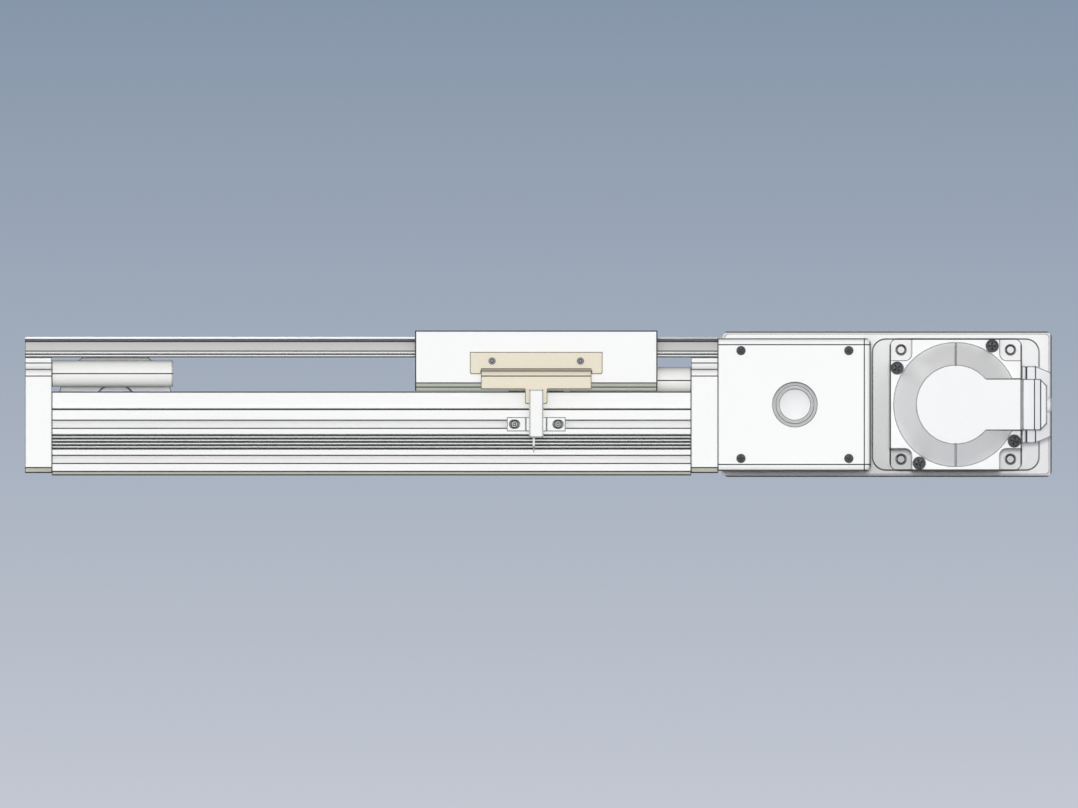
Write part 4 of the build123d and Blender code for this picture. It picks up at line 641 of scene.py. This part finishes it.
# Limit switch: a bent flag of yellow passivated sheet on the carriage, a bracket of zinc plated
# sheet on the T-slot, and the moulded sensor with its outlet.
PASSIVATED = srgb(232, 223, 201)
PLATED_SHEET = srgb(243, 243, 241)
SENSOR_TONE = srgb(245, 245, 244)
BEND_HEIGHTS = (48.2, 47.3, 45.0)
BEND_MIDDLE = 74.55
BEND_HALF = 25.0
bends = [("Z", height, "X", BEND_MIDDLE, BEND_HALF) for height in BEND_HEIGHTS]
flag = surface("passivated_sheet", PASSIVATED, metallic=0.1, roughness=0.4, grain=1600,
               tone=0.05, lines=bends)
sheet = surface("plated_sheet", PLATED_SHEET, metallic=0.1, roughness=0.4, grain=1600,
                tone=0.03)
sensor = surface("sensor_plastic", SENSOR_TONE, metallic=0.0, roughness=0.5, grain=3000,
                 tone=0.03)
dress(flag, "sensor_flag")
dress(plated, "flag_screws")
dress(sheet, "sensor_bracket")
dress(sensor, "limit_sensor", "sensor_outlet")

# The camera. The picture is square to the axis and has no perspective, so the camera looks
# along +Y without any. It sees as much to the left and right of the axis as the picture does.
PICTURE_WIDTH = 487.8 * MM
PICTURE_MIDDLE = Vector((75.8 * MM, 0, 32.35 * MM))
CAMERA_AWAY = 1.6
CAMERA_REACH = 20

camera_data = bpy.data.cameras.new("camera")
camera_data.type = "ORTHO"
camera_data.ortho_scale = PICTURE_WIDTH
camera_data.clip_end = CAMERA_REACH
camera = bpy.data.objects.new("camera", camera_data)
camera.location = PICTURE_MIDDLE + Vector((0, -CAMERA_AWAY, 0))
camera.rotation_euler = (QUARTER, 0, 0)
bpy.context.scene.collection.objects.link(camera)
bpy.context.scene.camera = camera
bpy.context.scene.view_settings.view_transform = "Standard"

# The backdrop: a round wall that glows in the picture's blue grey, darker towards its top. It
# lets the studio's light through, so it is only seen.
BACKDROP_RADIUS = 4.0
BACKDROP_LOW = -1.4
BACKDROP_HIGH = 2.6
BACKDROP_STEPS = 96
SKY_TOP = srgb(135, 150, 170)
SKY_MIDDLE = srgb(165, 175, 190)
SKY_BOTTOM = srgb(195, 200, 210)
SKY_TOP_HEIGHT = 215 * MM
SKY_BOTTOM_HEIGHT = -151 * MM

backdrop_mesh = bpy.data.meshes.new("backdrop")
ring = []
for level in (BACKDROP_LOW, BACKDROP_HIGH):
    for step in range(BACKDROP_STEPS):
        angle = 2 * math.pi * step / BACKDROP_STEPS
        across, along = math.cos(angle), math.sin(angle)
        ring.append((BACKDROP_RADIUS * across, BACKDROP_RADIUS * along, level))
walls = []
for step in range(BACKDROP_STEPS):
    after = (step + 1) % BACKDROP_STEPS
    walls.append((step, after, after + BACKDROP_STEPS, step + BACKDROP_STEPS))
backdrop_mesh.from_pydata(ring, [], walls)
backdrop = bpy.data.objects.new("backdrop", backdrop_mesh)
bpy.context.scene.collection.objects.link(backdrop)

sky, tree, output = new_material("backdrop_gradient")
place = tree.nodes.new("ShaderNodeNewGeometry")
split = tree.nodes.new("ShaderNodeSeparateXYZ")
height = tree.nodes.new("ShaderNodeMapRange")
height.inputs["From Min"].default_value = SKY_BOTTOM_HEIGHT
height.inputs["From Max"].default_value = SKY_TOP_HEIGHT
ramp = tree.nodes.new("ShaderNodeValToRGB")
ramp.color_ramp.elements[0].color = SKY_BOTTOM
ramp.color_ramp.elements[1].color = SKY_TOP
middle = ramp.color_ramp.elements.new(0.5)
middle.color = SKY_MIDDLE
rays = tree.nodes.new("ShaderNodeLightPath")
seen = rays.outputs["Is Camera Ray"]
for kind in ("Is Glossy Ray", "Is Transmission Ray"):
    either = tree.nodes.new("ShaderNodeMath")
    either.operation = "MAXIMUM"
    tree.links.new(seen, either.inputs[0])
    tree.links.new(rays.outputs[kind], either.inputs[1])
    seen = either.outputs[0]
glow = tree.nodes.new("ShaderNodeEmission")
clear = tree.nodes.new("ShaderNodeBsdfTransparent")
mix = tree.nodes.new("ShaderNodeMixShader")
tree.links.new(place.outputs["Position"], split.inputs[0])
tree.links.new(split.outputs["Z"], height.inputs["Value"])
tree.links.new(height.outputs[0], ramp.inputs[0])
tree.links.new(ramp.outputs[0], glow.inputs["Color"])
tree.links.new(seen, mix.inputs[0])
tree.links.new(clear.outputs[0], mix.inputs[1])
tree.links.new(glow.outputs[0], mix.inputs[2])
tree.links.new(mix.outputs[0], output.inputs["Surface"])
backdrop.data.materials.append(sky)

# The floor: a pale, matt sheet of paper just under the axis, that reaches as far as the wall.
# Its edge is never seen.
FLOOR_HALF = 4.0
FLOOR_GAP = 0.05 * MM
PAPER = srgb(236, 239, 243)
PAPER_ROUGHNESS = 0.8
floor_mesh = bpy.data.meshes.new("floor")
floor_height = cad_box[0][2] - FLOOR_GAP
corners = [(x * FLOOR_HALF, y * FLOOR_HALF, floor_height) for x, y in SQUARE]
floor_mesh.from_pydata(corners, [], [(0, 1, 2, 3)])
floor = bpy.data.objects.new("floor", floor_mesh)
bpy.context.scene.collection.objects.link(floor)
paper, tree, output = new_material("floor_paper")
shader = tree.nodes.new("ShaderNodeBsdfPrincipled")
shader.inputs["Base Color"].default_value = PAPER
shader.inputs["Roughness"].default_value = PAPER_ROUGHNESS
tree.links.new(shader.outputs[0], output.inputs["Surface"])
floor.data.materials.append(paper)

# The light: an even white world, a level key lamp from the front that metal doesn't mirror, and
# two large weak lamps, one in front and one behind.
WORLD_TONE = (1.0, 1.0, 1.0, 1.0)
WORLD_STRENGTH = 0.34
KEY_STRENGTH = 1.52
KEY_SPREAD = math.radians(2)
KEY_TILT = math.radians(89)
FRONT_LAMP = ((0.08, -2.6, 0.12), 2.0, 24)
BACK_LAMP = ((-0.6, 2.2, 1.0), 1.6, 24)

world = bpy.data.worlds.new("studio")
bpy.context.scene.world = world
world.use_nodes = True
world.node_tree.nodes["Background"].inputs["Color"].default_value = WORLD_TONE
world.node_tree.nodes["Background"].inputs["Strength"].default_value = WORLD_STRENGTH


def studio_lamp(name, place, size, power):
    """A soft square lamp that looks at the middle of the axis."""
    lamp_data = bpy.data.lights.new(name, "AREA")
    lamp_data.size = size
    lamp_data.energy = power
    lamp = bpy.data.objects.new(name, lamp_data)
    lamp.location = place
    towards = PICTURE_MIDDLE - Vector(place)
    lamp.rotation_euler = towards.to_track_quat("-Z", "Y").to_euler()
    bpy.context.scene.collection.objects.link(lamp)


key_data = bpy.data.lights.new("key_lamp", "SUN")
key_data.energy = KEY_STRENGTH
key_data.angle = KEY_SPREAD
key = bpy.data.objects.new("key_lamp", key_data)
key.rotation_euler = (KEY_TILT, 0, 0)
key.visible_glossy = False
bpy.context.scene.collection.objects.link(key)
studio_lamp("front_lamp", *FRONT_LAMP)
studio_lamp("back_lamp", *BACK_LAMP)
